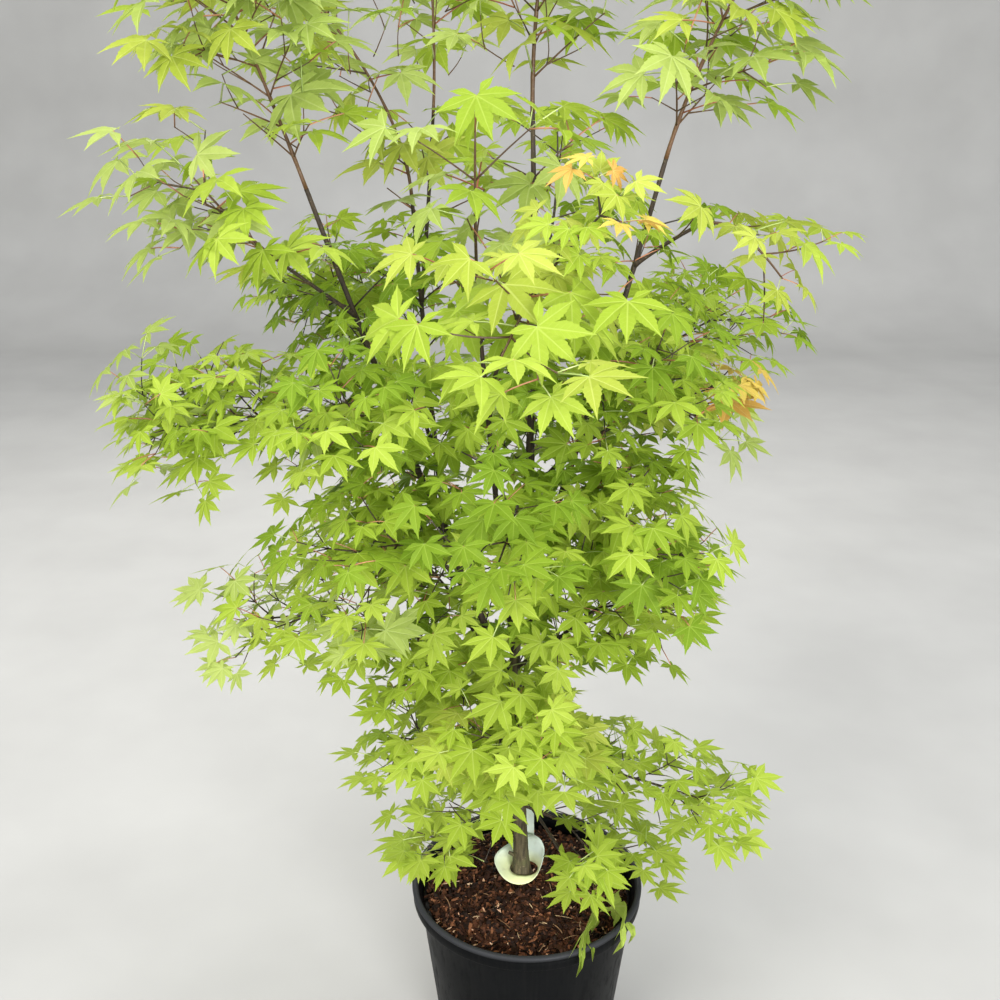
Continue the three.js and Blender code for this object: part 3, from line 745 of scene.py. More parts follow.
def make_crown():
    tubes, leaves = grow_crown()
    draw = random_series(SEEDS.crown)
    templates = blade_templates()
    stalks = {"green": Batch(), "red": Batch()}
    replaced = [f"foliage_{mass.name}" for mass in STEMS]
    for colour in LEAF_LOOKS:
        batch = Batch()
        for leaf in leaves.get(colour, ()):
            points, faces, uvs = any_of(templates, draw)
            batch.add(stand_blade(points, leaf), faces, draw(), uvs)
            red = draw() < RED_STALKS.share and leaf.base[2] > RED_STALKS.height
            radius = LEAF.stalk_radius * leaf.size
            way = stalk_points(leaf)
            radii = np.linspace(radius * LEAF.stalk_taper, radius, len(way))
            stalks["red" if red else "green"].add(*tube(way, radii, LEAF.stalk_sides), draw())
        batch.make(f"leaves_{colour}", leaf_look(colour), "leaves", replaced, smooth=False)
        replaced = ()
    for kind, batch in stalks.items():
        batch.make(f"leaf_stalks_{kind}", plain_look(f"stalk_{kind}"), "leaves")
    twigs = {"old": Batch(), "young": Batch()}
    for kind, curve, base, tip in tubes:
        share = np.linspace(0, 1, max(3, int(curve.length / TWIGS.ring_spacing)) + 1)
        radii = between(base, tip, share) * knotted(share * curve.length, **TWIG_KNOTS)
        twigs[kind].add(*tube(curve.at(share), radii, TWIGS.sides), draw())
    for kind, batch in twigs.items():
        batch.make(f"twigs_{kind}", plain_look(f"twig_{kind}"), "bough")


# Bark

# Its height is in shares of the limb's radius: ridges and finer grain, each drawn out along the
# limb, with their sizes on the trunk and on the boughs
BARK = Group(
    low=0.98, ridge=0.05, ridge_power=3, ridge_stretch=5, grain=0.02, grain_stretch=3,
    trunk=(4.2, 1.9), bough=(3.4, 1.5), trunk_rings=260, trunk_sides=56, bough_spacing=5,
    least_rings=12, bough_sides=14, bough_read_at=3,
)
COLLAR = Group(swell=0.55, fade=9)
STUB = Group(height=32, bearing=190, length=19, rise=14, base=4.2, tip=2.6, bow=2, sides=12, uneven=0.1)


def bark_ring(point, angles, read_at, sizes):
    """Bark round one ring of a limb, in shares of its radius, read at a distance from its axis."""
    coarse, fine = sizes
    found = []
    for angle, distance in zip(angles, read_at):
        x, y, z = point + distance * np.array([*direction(angle), 0])
        spot = Vector((x / coarse, y / coarse, z / (coarse * BARK.ridge_stretch)))
        ridge = 1 - abs(noise.noise(spot)) * 2
        grain = noise.noise(Vector((x / fine, y / fine, z / (fine * BARK.grain_stretch))))
        found.append(BARK.low + BARK.ridge * ridge ** BARK.ridge_power + BARK.grain * grain)
    return np.array(found)


def trunk_radius(fraction, angle):
    height = fraction * (TRUNK_HIGH[2] - TRUNK_LOW[2])
    flare = math.exp(-height / TRUNK.flare_height)
    buttress = 1 + TRUNK.buttress_depth * flare * np.cos(TRUNK.buttresses * angle)
    return between(TRUNK.base, TRUNK.tip, fraction) * (1 + TRUNK.flare * flare) * buttress


def make_trunk():
    curve = LIMBS["trunk"].curve
    share = np.linspace(0, 1, BARK.trunk_rings)
    points = curve.at(share)

    def relief(i, angles):
        radius = trunk_radius(share[i], angles)
        return radius * bark_ring(points[i], angles, radius, BARK.trunk)

    batch = Batch()
    batch.add(*tube(points, 1, BARK.trunk_sides, relief))
    add_stub(batch, curve)
    batch.make("trunk_bark", bark_look("trunk"), "bark", ["trunk"])


def add_stub(batch, curve):
    """The short snag of a cut twig low on the trunk's left."""
    start = curve.at(STUB.height / curve.length)
    tip = start + place(STUB.bearing, STUB.length, STUB.rise)
    points = Curve(start, (start + tip) / 2 + STUB.bow * UP, tip, steps=6).points
    radii = np.linspace(STUB.base, STUB.tip, len(points))
    batch.add(*tube(points, radii, STUB.sides, lambda i, a: 1 + STUB.uneven * np.cos(3 * a + i)))


def make_boughs():
    batch = Batch()
    draw = random_series(SEEDS.boughs)
    for name, *_ in BOUGHS:
        limb = LIMBS[name]
        curve = limb.curve
        share = np.linspace(0, 1, max(BARK.least_rings, int(curve.length / BARK.bough_spacing)))
        points = curve.at(share)
        distance = share * curve.length
        collar = 1 + COLLAR.swell * np.exp(-distance / COLLAR.fade) * (limb.at < 1)
        radii = between(limb.base, limb.tip, share) * collar * knotted(distance, **BOUGH_KNOTS)

        def relief(i, angles):
            read_at = np.full(len(angles), BARK.bough_read_at)
            return bark_ring(points[i], angles, read_at, BARK.bough)

        batch.add(*tube(points, radii, BARK.bough_sides, relief), draw())
    nodes = [f"bough_{name}" for name, *_ in BOUGHS]
    batch.make("boughs_bark", bark_look("bough"), "bough", nodes)


# Pot and mulch

# Radii and heights of the pot's wall, band and rolled bead. Its heel is how far in and how high
# the foot's edge starts and ends, its neck how far out and how many beads down the band ends, and
# its throat how far in from the rim and how far down the wall is under the bead. The last three
# keep the corners of the cove, of the band's underside and of the inner wall apart
POT = Group(
    band=24, body_top=163, bottom=132, wall=3, floor=4, bead=4.6, band_out=173.4, inner=160.5,
    shelf=4, cove=2.5, edge=1.6, heel=((6, 0), (2, 0.8)), neck=((0.3, 2.4), (-0.5, 2.05)),
    throat=((4.6, 8), (1.2, 12), (0, 18)), rows=9, segments=192, apart=(0.1, 0.4, 0.2),
)
MULCH = Group(
    levels=((70, 125, MULCH_RADIUS), (0, 2, 6)), uneven=1.5, bumps=24, rings=40, segments=96,
    middle=2, wall_gap=1, floor_gap=0.5,
)


def lathe(profile, segments):
    """Points, faces, shade and face coordinates of a closed solid of revolution."""
    angles = ring_angles(segments)
    points = [
        np.column_stack([r * np.cos(angles), r * np.sin(angles), np.full(segments, z)]) for r, z in profile
    ]
    uvs = []
    for (_, low), (_, high) in zip(profile, profile[1:]):
        for j in range(segments):
            left, right = j / segments, (j + 1) / segments
            uvs += [(left, low), (right, low), (right, high), (left, high)]
    uvs += [(0, 0)] * 2 * segments
    return np.concatenate(points), skin_faces(len(profile), segments), 0.5, np.array(uvs)


def arc(centre, radius, first, last, steps):
    return [
        (centre[0] + radius * math.cos(degrees(a)), centre[1] + radius * math.sin(degrees(a)))
        for a in np.linspace(first, last, steps)
    ]


def make_pot():
    band_low = POT_HEIGHT - POT.band
    slope = (POT.body_top - POT.bottom) / band_low
    bead, cove, edge, shelf, out = POT.bead, POT.cove, POT.edge, POT.shelf, POT.band_out
    cove_gap, under_gap, wall_gap = POT.apart
    profile = [
        *((POT.bottom - inwards, z) for inwards, z in POT.heel),
        *((POT.bottom + slope * z, z) for z in np.linspace(shelf, band_low - shelf, POT.rows)),
        *arc((POT.body_top + cove - cove_gap, band_low - cove - cove_gap), cove, 180, 90, 4),
        (out - edge - under_gap, band_low),
        *arc((out - edge, band_low + edge), edge, -90, 0, 4),
        *((out + outwards, POT_HEIGHT - beads * bead) for outwards, beads in POT.neck),
        *arc((RIM_RADIUS - bead, POT_HEIGHT - bead), bead, -38, 172, 16),
        *((POT.inner + outwards, POT_HEIGHT - depth) for outwards, depth in POT.throat),
        (POT.body_top - POT.wall - wall_gap, band_low - shelf),
        (POT.bottom - POT.wall, POT.floor),
    ]
    make_piece("pot_shell", lathe(profile, POT.segments), pot_look(), "pot", ["pot"])


def mulch_height(bearing, radius):
    """Height of the mulch bed: level round the trunk and a little lower at the wall."""
    x, y, _ = place(bearing, radius, 0) / MULCH.bumps
    uneven = MULCH.uneven * (noise.noise(Vector((x, y, 0))) - 1)
    return MULCH_TOP - np.interp(radius, *MULCH.levels) + uneven


def make_mulch_bed():
    """The compost under the chips: uneven on top, and down to the pot's floor."""
    bearings = np.arange(MULCH.segments) * 360 / MULCH.segments
    points = [
        place(bearing, radius, mulch_height(bearing, radius))
        for radius in np.linspace(MULCH.middle, MULCH_RADIUS, MULCH.rings) for bearing in bearings
    ]
    foot = POT.bottom - POT.wall - MULCH.wall_gap
    points += [place(bearing, foot, POT.floor + MULCH.floor_gap) for bearing in bearings]
    bed = np.array(points), skin_faces(MULCH.rings + 1, MULCH.segments, flipped=True)
    make_piece("mulch_bed", bed, chip_look("bed"), "mulch", ["mulch"])


# Bark chips: how many of each colour, and their length, width and thickness
CHIPS = {
    "dark": (1700, (8, 22), (3, 9), (1.5, 4)),
    "brown": (2300, (6, 19), (2.5, 8), (1.2, 3.4)),
    "russet": (1000, (5, 17), (2, 7), (1, 2.8)),
    "tan": (420, (4, 13), (1.2, 4.5), (0.6, 1.6)),
}
# Their common shape: a slab's outline, how uneven its corners are, how many are small, how far
# they keep from the wall, how high they heap and how far they tip
CHIP = Group(
    outline=((-0.5, -0.5), (0.5, -0.5), (0.62, 0.05), (0.5, 0.5), (-0.5, 0.5), (-0.6, -0.05)),
    jitters=(0.3, 0.4, 0.35), small=1.6, wall_gap=5, heap=5.5, pitch=1.5, roll=2.0,
)


def scattered(gap, draw):
    """A bearing and a reach spread evenly over the mulch, a gap or more from the pot's wall."""
    reach = (MULCH_RADIUS - gap) * math.sqrt(draw())
    return 360 * draw(), reach


def chip_points(size, draw):
    """A split, angular chip: a slab with uneven corners."""
    corners = [(x, y, z) for z in (-0.5, 0.5) for x, y in CHIP.outline]
    moved = [[v + jitter(draw, width) for v, width in zip(corner, CHIP.jitters)] for corner in corners]
    return np.array(moved) * size


def make_chips():
    draw = random_series(SEEDS.chips)
    faces = skin_faces(2, len(CHIP.outline))
    for colour, (count, *ranges) in CHIPS.items():
        batch = Batch()
        for _ in range(count):
            size = np.array([between(*ends, draw() ** CHIP.small) for ends in ranges])
            spot = scattered(CHIP.wall_gap + size[0] / 2, draw)
            yaw, pitch, roll = 2 * math.pi * draw(), jitter(draw, CHIP.pitch), jitter(draw, CHIP.roll)
            turn = np.array(Euler((roll, pitch, yaw)).to_matrix())
            centre = place(*spot, mulch_height(*spot) + CHIP.heap * draw())
            batch.add(chip_points(size, draw) @ turn.T + centre, faces, draw())
        batch.make(f"chips_{colour}", chip_look(colour), "mulch", smooth=False)


STRAWS = Group(
    count=60, length=(10, 38), radius=0.42, thinnest=0.6, wall_gap=12, lift=3.2, heap=2, slope=5,
    bow=0.35, arch=2, sides=5,
)


def make_straws():
    """Thin pale twig bits that lie on the chips."""
    draw = random_series(SEEDS.straws)
    batch = Batch()
    for _ in range(STRAWS.count):
        length = between(*STRAWS.length, draw() ** 2)
        spot = scattered(STRAWS.wall_gap + length / 2, draw)
        middle = place(*spot, MULCH_TOP + STRAWS.lift + STRAWS.heap * draw())
        way = place(360 * draw(), length / 2, jitter(draw, STRAWS.slope))
        sideways = np.cross(unit(way), UP) * jitter(draw, STRAWS.bow * length)
        points = Curve(middle - way, middle + sideways + UP * STRAWS.arch, middle + way, steps=6).points
        radius = STRAWS.radius * (STRAWS.thinnest + draw())
        batch.add(*tube(points, radius, STRAWS.sides), draw())
    batch.make("straws", plain_look("straw"), "mulch")


# Label and withered leaves

# A collar that starts close round the trunk: its inner radius and height, what its right side adds
# to that radius, then the outer edge's radius and height at its front, and what its left side and
# its tall back add to those. Its waves are how many, where they start and how deep they are
LABEL = Group(
    inner=17.5, inner_height=13, right=9, front=33, front_height=8, left=9, left_height=14, back=3,
    back_height=46, tall_at=52, side_power=1.5, flare=0.8, upturn=1.3, thick=0.7, steps=96, rows=7,
    waves=((3, 0.8, 0.03), (5, 0, 0.02)), lift=1,
)
TONGUE = Group(bearing=74, width=22, top=0.4, low=34, high=104, thick=0.7, lean=8, inset=1.5, steps=9)


def band_point(angle, row, inset):
    """A point of the collar: angle round it, row 0 to 1 outwards, inset from its outer face."""
    right, left = (max(0, way * math.cos(angle)) ** LABEL.side_power for way in (1, -1))
    tall = ((1 + math.cos(angle - degrees(LABEL.tall_at))) / 2) ** 2
    wave = 1 + sum(depth * math.sin(count * angle + start) for count, start, depth in LABEL.waves)
    inner = LABEL.inner + LABEL.right * right
    outer = (LABEL.front + LABEL.left * left + LABEL.back * tall) * wave
    rise = LABEL.front_height + LABEL.left_height * left + LABEL.back_height * tall
    radius = between(inner, outer, row ** LABEL.flare) - inset / 2
    height = between(LABEL.inner_height, rise, row ** LABEL.upturn)
    return np.array([*direction(angle) * radius, height + inset])


def make_label():
    """A plain plastic collar round the trunk's foot, taller at the back, with its tongue."""
    foot = place(TRUNK.bearing, TRUNK.offset, MULCH_TOP + LABEL.lift)
    rows = np.linspace(0, 1, LABEL.rows)
    section = [(row, 0) for row in rows] + [(row, LABEL.thick) for row in rows[::-1]]
    points = [foot + band_point(angle, *spot) for angle in ring_angles(LABEL.steps) for spot in section]
    band = np.array(points), skin_faces(LABEL.steps, len(section), closed=True, flipped=True)
    make_piece("label_band", band, label_look(), "label", ["label"])
    make_tongue(foot)


def make_tongue(foot):
    """The plain upright end of the label, a thin plate with a rounded top."""
    angle = degrees(TONGUE.bearing)
    base = foot + band_point(angle, 1, 0) * (1, 1, 0)
    outwards = np.array([*direction(angle), 0])
    across = np.cross(outwards, UP) * TONGUE.width
    outline = [(-0.5, TONGUE.low), (0.5, TONGUE.low)]
    half = TONGUE.width / 2
    for x, y in map(direction, np.linspace(0, math.pi, TONGUE.steps)):
        outline.append((TONGUE.top * x, TONGUE.high - half + half * y))
    points = []
    for inset in (TONGUE.inset, TONGUE.inset + TONGUE.thick):
        for share, height in outline:
            back = TONGUE.lean * (height / TONGUE.high) ** 2 + inset
            points.append(base + across * share + outwards * back + UP * height)
    plate = np.array(points), skin_faces(2, len(outline), flipped=True)
    make_piece("label_tongue", plate, label_look(), "label", smooth=False)


# Withered leaves draped over the rim: the curve each follows from its stalk to its tip, the
# stalk's foot in the mulch, and how wide the curled blade still is
WITHERED = (
    (((94, -84, 294), (80, -132, 305), (74, -172, 306), (69, -171, 254)), (92, -14, 272), 0.42),
    (((124, -70, 293), (142, -92, 305), (145, -116, 305), (129, -126, 254)), (142, -22, 272), 0.44),
)
WITHERED_BLADE = Group(length=72, curl=0.16, ripples=(9, 4), lift=0.35, depth=0.3, level=20)
WITHERED_STALK = Group(base=0.9, tip=0.6, arch=10, sides=5, shade=0.6)
# A tangle of dry stalks, and scraps of blades on it
TANGLE = Group(middle=(114, -20, 272), reach=24, height=9, stems=26, radius=0.4, sides=4)
SCRAPS = Group(count=5, reach=0.7, low=2, heap=5, length=22, rise=4, arch=6, width=0.3, size=0.5)


def drape(template, curve, width):
    """A blade laid along a curve: its length follows the curve and its sides curl up."""
    length = WITHERED_BLADE.length
    along_turns, across_turns = WITHERED_BLADE.ripples
    found = []
    for x, y, z in template:
        share = min(max(x, 0), 1)
        spot, along = curve.at(share), curve.along(share)
        outward = unit(np.array([spot[0], spot[1], WITHERED_BLADE.level]))
        sideways = unit(np.cross(outward, along))
        normal = np.cross(along, sideways)
        ripple = WITHERED_BLADE.curl * math.sin(along_turns * x + across_turns * y)
        curl = (ripple + WITHERED_BLADE.lift * abs(y)) * width
        moved = along * (x - share) + sideways * y * width + normal * (z * WITHERED_BLADE.depth + curl)
        found.append(spot + moved * length)
    return np.array(found)


def make_withered():
    """Two withered leaves on their stalks, and a tangle of dry stalks and scraps beside them."""
    draw = random_series(SEEDS.withered)
    templates = blade_templates()
    leaves, stalks, scraps = Batch(), Batch(), Batch()
    for controls, foot, width in WITHERED:
        curve = Curve(*controls)
        points, faces, uvs = any_of(templates, draw)
        leaves.add(drape(points, curve, width), faces, draw(), uvs)
        top = curve.at(0)
        way = Curve(foot, (foot + top) / 2 + WITHERED_STALK.arch * UP, top, steps=12).points
        radii = np.linspace(WITHERED_STALK.base, WITHERED_STALK.tip, len(way))
        stalks.add(*tube(way, radii, WITHERED_STALK.sides), WITHERED_STALK.shade)
    middle = np.array(TANGLE.middle, float)
    for _ in range(TANGLE.stems):
        ends = [
            middle + place(360 * draw(), TANGLE.reach * draw(), TANGLE.height * draw())
            for _ in range(3)
        ]
        stalks.add(*tube(Curve(*ends, steps=6).points, TANGLE.radius, TANGLE.sides), draw())
    for _ in range(SCRAPS.count):
        reach, bearing = TANGLE.reach * SCRAPS.reach, 360 * draw()
        start = middle + place(bearing, reach * draw(), SCRAPS.low + SCRAPS.heap * draw())
        end = start + place(360 * draw(), SCRAPS.length, SCRAPS.rise)
        way = Curve(start, (start + end) / 2 + SCRAPS.arch * UP, end)
        points, faces, uvs = any_of(templates, draw)
        draped = drape(points, way, SCRAPS.width)
        scraps.add(between(start, draped, SCRAPS.size), faces, draw(), uvs)
    leaves.make("withered_leaves", leaf_look("withered"), "leaves", smooth=False)
    stalks.make("withered_stalks", plain_look("stalk_dry"), "leaves")
    scraps.make("dry_scraps", leaf_look("dry"), "leaves", smooth=False)


# Materials

# Where most of a noise's values lie
NOISE_RANGE = (0.3, 0.7)


class Look:
    """A material with short helpers for its nodes."""

    def __init__(self, name):
        self.material = bpy.data.materials.new(name)
        self.material.use_nodes = True
        self.nodes = self.material.node_tree.nodes
        self.links = self.material.node_tree.links
        self.shader = self.nodes["Principled BSDF"]

    def feed(self, socket, value):
        """Links a socket to a node's output, or sets it to a number, a vector or a colour."""
        if isinstance(value, bpy.types.NodeSocket):
            self.links.new(value, socket)
        elif socket.type == "RGBA":
            socket.default_value = (*value, 1)
        else:
            socket.default_value = value

    def set(self, name, value):
        self.feed(self.shader.inputs[name], value)

    def node(self, kind, inputs, **settings):
        """The outputs of a new node with these settings, its inputs fed by name or number."""
        made = self.nodes.new(kind)
        for key, value in settings.items():
            setattr(made, key, value)
        for key, value in inputs.items():
            self.feed(made.inputs[key], value)
        return made.outputs

    def coords(self, name="Object"):
        return self.node("ShaderNodeTexCoord", {})[name]

    def stretched(self, scale, name="Object"):
        return self.node("ShaderNodeMapping", {"Scale": scale, "Vector": self.coords(name)})["Vector"]

    def split(self, vector):
        return self.node("ShaderNodeSeparateXYZ", {0: vector})

    def noise(self, scale, detail=4.0, vector=None, rough=0.5):
        inputs = {"Scale": scale, "Detail": detail, "Roughness": rough, "Vector": vector or self.coords()}
        return self.node("ShaderNodeTexNoise", inputs)["Fac"]

    def math(self, operation, *values):
        return self.node("ShaderNodeMath", dict(enumerate(values)), operation=operation)[0]

    def span(self, value, low, high, to_low=0.0, to_high=1.0):
        inputs = {"Value": value, "From Min": low, "From Max": high, "To Min": to_low, "To Max": to_high}
        return self.node("ShaderNodeMapRange", inputs)["Result"]

    def mix(self, factor, first, second):
        return self.node("ShaderNodeMix", {0: factor, 6: first, 7: second}, data_type="RGBA")[2]

    def tone(self, low, high):
        """A colour between two, by each shape's own shade."""
        shade = self.node("ShaderNodeAttribute", {}, attribute_name="shade")["Fac"]
        return self.mix(shade, srgb(*low), srgb(*high))

    def cover(self, base, source, low, high, most, colour):
        """A colour over the base where a source rises from low to high, and at most so much of it."""
        return self.mix(self.span(source, low, high, 0, most), base, srgb(*colour))

    def rough(self, source, least, most):
        self.set("Roughness", self.span(source, *NOISE_RANGE, least, most))

    def bump(self, height, strength, distance):
        inputs = {"Strength": strength, "Distance": distance, "Height": height}
        normal = self.node("ShaderNodeBump", inputs)["Normal"]
        self.set("Normal", normal)
        return normal


def srgb(*levels):
    """A colour given in the usual 0 to 255, as linear light."""
    shares = [level / 255 for level in levels]
    return tuple(c / 12.92 if c <= 0.04045 else ((c + 0.055) / 1.055) ** 2.4 for c in shares)


# Leaf colours: darker and lighter blade, vein, and how much light comes through. Part of each blade's
# blue is painted sky reflection
LEAF_LOOKS = {
    "lime": ((152, 176, 53), (180, 199, 78), (198, 214, 108), 0.42),
    "bright": ((160, 175, 62), (188, 198, 88), (206, 215, 120), 0.42),
    # Painted sky reflection and painted light through the leaf: a paler, bluer copy of the lime blade
    "pale": ((156, 175, 82), (184, 199, 110), (204, 217, 138), 0.42),
    "fresh": ((136, 162, 46), (162, 184, 62), (182, 202, 92), 0.4),
    # Painted shade: a darker copy of the fresh blade for the crown's middle and back
    "mid": ((112, 141, 36), (138, 163, 46), (162, 186, 76), 0.38),
    "amber": ((206, 154, 82), (214, 200, 92), (222, 192, 120), 0.34),
}
OTHER_LEAVES = {
    "withered": ((118, 138, 48), (164, 184, 80), (186, 190, 110), 0.3),
    "dry": ((78, 54, 40), (134, 104, 78), (150, 120, 90), 0.05),
}
# Veins in shares of a lobe's length: the midrib narrows along it, and the side veins slant
VEINS = Group(
    width=0.016, narrowing=-0.010, soft=0.008, slant=-0.9, count=9, side_width=0.09, side_depth=0.42,
    depth=0.45,
)


def leaf_look(colour):
    """A thin blade that lets light through, mottled, with paler veins."""
    low, high, vein, through = {**LEAF_LOOKS, **OTHER_LEAVES}[colour]
    look = Look(f"leaf_{colour}")
    blade = look.cover(look.tone(low, high), look.noise(90, 3), 0.35, 0.7, 0.35, low)
    along, across, _ = look.split(look.coords("UV"))
    width = look.math("MULTIPLY_ADD", along, VEINS.narrowing, VEINS.width)
    midrib = look.span(look.math("SUBTRACT", across, width), 0.0, VEINS.soft, 1, 0)
    slanted = look.math("MULTIPLY_ADD", across, VEINS.slant, along)
    turns = look.math("FRACT", look.math("MULTIPLY", slanted, VEINS.count))
    wave = look.math("ABSOLUTE", look.math("SUBTRACT", turns, 0.5))
    side_veins = look.span(wave, 0.0, VEINS.side_width, VEINS.side_depth, 0)
    veins = look.math("MAXIMUM", midrib, side_veins)
    surface = look.mix(look.math("MULTIPLY", veins, VEINS.depth), blade, srgb(*vein))
    look.set("Base Color", surface)
    look.rough(look.noise(160, 2), 0.42, 0.6)
    look.set("Specular IOR Level", 0.12)
    normal = look.bump(look.math("SUBTRACT", look.noise(420, 2), veins), 0.35, 0.0006)
    lit = {"Color": look.mix(0.35, surface, srgb(*high)), "Normal": normal}
    glow = look.node("ShaderNodeBsdfTranslucent", lit)[0]
    both = look.node("ShaderNodeMixShader", {0: through, 1: look.shader.outputs[0], 2: glow})[0]
    look.feed(look.nodes["Material Output"].inputs["Surface"], both)
    return look.material


# Plain looks: their darker and lighter colour, and the colour of their patches
PLAIN_COLOURS = {
    "stalk_green": ((150, 170, 90), (196, 204, 140), (150, 170, 90)),
    "stalk_red": ((150, 84, 62), (196, 140, 104), (150, 84, 62)),
    "stalk_dry": ((120, 96, 60), (170, 146, 96), (120, 96, 60)),
    # The old twigs grow in the crown's middle and low down; their near-black colour is partly their age
    # and partly painted shade
    "twig_old": ((34, 25, 20), (66, 50, 36), (126, 104, 70)),
    "twig_young": ((64, 46, 30), (104, 72, 46), (126, 104, 70)),
    "straw": ((150, 110, 74), (214, 186, 146), (110, 76, 50)),
}
# The size and detail of each kind's patches, where they fade in and how far, its roughness, which
# varies on twigs over a noise, and the size and detail of its bump with the strength and depth
PLAIN_KINDS = {
    "stalk": ((70, 2), (0.4, 0.7, 0.6), 0.45, (500, 2), (0.2, 0.0003)),
    "twig": ((300, 4), (0.55, 0.7, 0.5), ((200, 3), 0.4, 0.7), (420, 4), (0.4, 0.0006)),
    "straw": ((90, 3), (0.4, 0.7, 0.6), 0.7, (600, 3), (0.3, 0.0004)),
}


def plain_look(name):
    low, high, patch = PLAIN_COLOURS[name]
    patches, fade, rough, grain, bump = PLAIN_KINDS[name.split("_")[0]]
    look = Look(name)
    look.set("Base Color", look.cover(look.tone(low, high), look.noise(*patches), *fade, patch))
    if isinstance(rough, tuple):
        source, *ends = rough
        look.rough(look.noise(*source), *ends)
    else:
        look.set("Roughness", rough)
    look.bump(look.noise(*grain), *bump)
    return look.material


# Bark: its darker and lighter colour and where the streaks fade, then the patches' fade and colour
BARK_LOOKS = {
    "trunk": ((34, 29, 19), (108, 96, 68), 0.7, (0.52, 0.66, 0.55), (92, 96, 56)),
    "bough": ((22, 16, 13), (70, 54, 38), 0.72, (0.5, 0.7, 0.5), (70, 66, 38)),
}


def bark_look(kind):
    """Grey-brown fissured bark with greener patches, darker and smoother on the boughs."""
    low, high, streaked, fade, patch = BARK_LOOKS[kind]
    look = Look(f"bark_{kind}")
    streaks = look.noise(1, 8, look.stretched((240, 240, 42)), 0.62)
    patches = look.noise(38, 4)
    base = look.mix(look.span(streaks, 0.3, streaked), srgb(*low), srgb(*high))
    base = look.cover(base, patches, *fade, patch)
    lenticels = look.noise(1, 2, look.stretched((260, 260, 700)))
    look.set("Base Color", look.cover(base, lenticels, 0.66, 0.72, 0.5, (170, 150, 118)))
    look.rough(patches, 0.62, 0.86)
    look.bump(look.math("ADD", streaks, look.math("MULTIPLY", look.noise(700, 3), 0.3)), 0.7, 0.0012)
    return look.material


def pot_look():
    """Black moulded plastic: fine vertical streaks with dust, soft scuffs and a painted highlight along
    the rim's bead.
    """
    look = Look("pot_plastic")
    streaks = look.noise(1, 6, look.stretched((150, 0.004, 1), "UV"), 0.6)
    ribs = look.noise(1, 1, look.stretched((60, 0.0, 1), "UV"), 0.4)
    cloud = look.noise(9, 5)
    scuffs = look.noise(1, 8, look.stretched((90, 90, 26)), 0.7)
    height = look.split(look.coords())[2]
    base = look.mix(look.span(cloud, 0.3, 0.75), srgb(3, 4, 5), srgb(10, 11, 12))
    base = look.cover(base, streaks, 0.5, 0.75, 0.12, (48, 45, 43))
    base = look.cover(base, scuffs, 0.64, 0.74, 0.1, (84, 78, 72))
    # Painted highlight: the top of the rim's bead is a lighter grey, where it catches the light
    base = look.cover(base, height, (POT_HEIGHT - 9) * MM, (POT_HEIGHT - 3) * MM, 0.5, (66, 67, 70))
    look.set("Base Color", base)
    scuffed = look.span(scuffs, 0.5, 0.7, 0, 0.2)
    look.set("Roughness", look.math("ADD", look.span(cloud, *NOISE_RANGE, 0.38, 0.5), scuffed))
    look.set("Specular IOR Level", 0.08)
    grain = look.math("MULTIPLY", look.noise(900, 2), 0.2)
    look.bump(look.math("ADD", look.math("MULTIPLY", ribs, 0.8), grain), 0.25, 0.0012)
    return look.material


CHIP_LOOKS = {
    "bed": ((8, 5, 3), (24, 14, 9)),
    "dark": ((20, 10, 5), (52, 28, 16)),
    "brown": ((44, 24, 14), (94, 57, 36)),
    "russet": ((96, 57, 36), (160, 108, 76)),
    "tan": ((190, 142, 108), (238, 206, 176)),
}


def chip_look(colour):
    """Split bark: grain drawn out across the chips, dark in its furrows."""
    low, high = CHIP_LOOKS[colour]
    look = Look(f"chips_{colour}")
    grain = look.noise(1, 5, look.stretched((700, 240, 400)), 0.6)
    look.set("Base Color", look.cover(look.tone(low, high), grain, 0.35, 0.7, 0.75, low))
    look.rough(look.noise(120, 2), 0.5, 0.85)
    look.set("Specular IOR Level", 0.15)
    look.bump(grain, 0.6, 0.001)
    return look.material


def label_look():
    """Plain pale plastic, yellow-green low down and a little bluer where it is higher, soiled."""
    look = Look("label_plastic")
    height = look.split(look.coords())[2]
    rise = look.span(height, (MULCH_TOP + 8) * MM, (MULCH_TOP + 32) * MM)
    base = look.mix(rise, srgb(244, 247, 172), srgb(230, 242, 232))
    look.set("Base Color", look.cover(base, look.noise(60, 6), 0.56, 0.8, 0.35, (150, 140, 104)))
    look.rough(look.noise(40, 3), 0.3, 0.5)
    look.bump(look.noise(220, 3), 0.15, 0.0005)
    return look.material


# Studio in metres: a floor that bends up into a backdrop, soft lights and the camera
STUDIO = Group(reach=9.0, bend=1.2, rise=6.0)


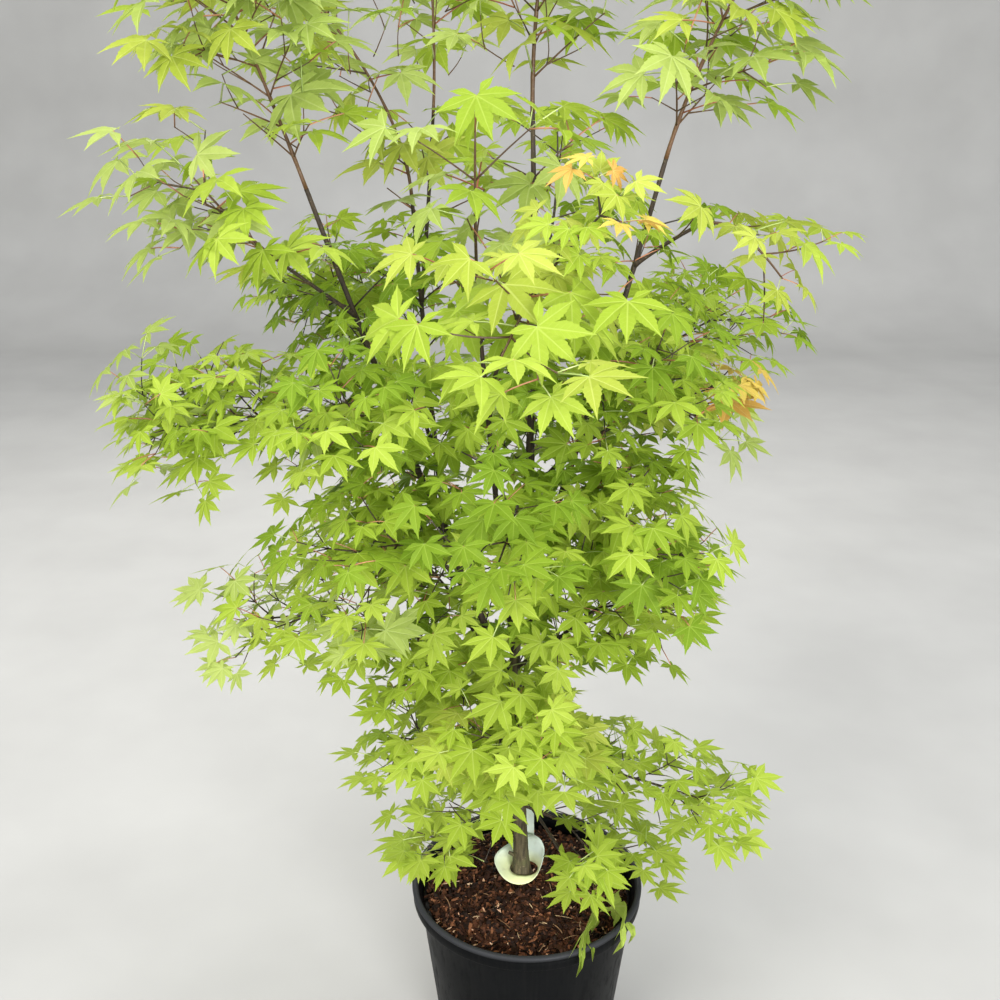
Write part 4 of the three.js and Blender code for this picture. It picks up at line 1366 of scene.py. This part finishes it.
def make_studio():
    reach, bend = STUDIO.reach, STUDIO.bend
    curved = arc((reach / 2, bend), bend, -90, 0, 11)
    profile = [(-reach, 0.0), *curved, (curved[-1][0], STUDIO.rise)]
    points = [(x, y, z) for y, z in profile for x in (-reach, reach)]
    faces = [(2 * i, 2 * i + 1, 2 * i + 3, 2 * i + 2) for i in range(len(profile) - 1)]
    mesh = bpy.data.meshes.new("floor")
    mesh.from_pydata(points, [], faces)
    mesh.shade_smooth()
    look = Look("floor")
    tones = look.mix(look.span(look.noise(3, 3), *NOISE_RANGE), srgb(156, 155, 152), srgb(163, 162, 159))
    look.set("Base Color", tones)
    look.set("Roughness", 0.8)
    mesh.materials.append(look.material)
    add_object("floor", mesh)


# Lights: name, place, the point it faces, size in metres, power and colour
LIGHTS = (
    ("key", (-2.6, -3.2, 4.2), (0, 0, 0.7), 3.0, 245, (1.0, 0.98, 0.94)),
    ("top", (0.5, 0.3, 5.0), (0, 0, 0.9), 3.5, 100, (0.97, 0.98, 1.0)),
    ("fill", (1.8, -4.7, 1.9), (0, 0, 0.4), 2.4, 340, (0.97, 0.98, 1.0)),
    ("behind", (-0.6, 2.8, 2.6), (0, 0, 1.0), 2.4, 60, (1.0, 0.99, 0.95)),
    ("backdrop", (0, 2.2, 5.6), (0, 6.0, 1.4), 6.0, 100, (1.0, 1.0, 1.0)),
)
WORLD = Group(colour=(0.93, 0.96, 1.0, 1), strength=0.8)


def make_lights():
    for name, spot, target, size, power, colour in LIGHTS:
        light = bpy.data.lights.new(name, "AREA")
        light.shape = "DISK"
        light.size = size
        light.energy = power
        light.color = colour
        holder = add_object(name, light)
        holder.visible_camera = False
        holder.location = spot
        holder.rotation_euler = (Vector(target) - Vector(spot)).to_track_quat("-Z", "Y").to_euler()
    world = bpy.data.worlds.new("studio")
    world.use_nodes = True
    background = world.node_tree.nodes["Background"]
    background.inputs["Color"].default_value = WORLD.colour
    background.inputs["Strength"].default_value = WORLD.strength
    bpy.context.scene.world = world


def make_camera():
    bpy.context.scene.view_settings.view_transform = "Standard"
    camera = bpy.data.cameras.new("camera")
    camera.lens = CAMERA_LENS
    camera.sensor_width = SENSOR
    camera.clip_start = 0.01
    holder = add_object("camera", camera)
    holder.location = CAMERA_PLACE
    holder.rotation_euler = (degrees(90 - CAMERA_PITCH), 0, 0)
    bpy.context.scene.camera = holder


make_camera()
make_studio()
make_lights()
make_pot()
make_mulch_bed()
make_chips()
make_straws()
make_label()
make_trunk()
make_boughs()
make_crown()
make_withered()
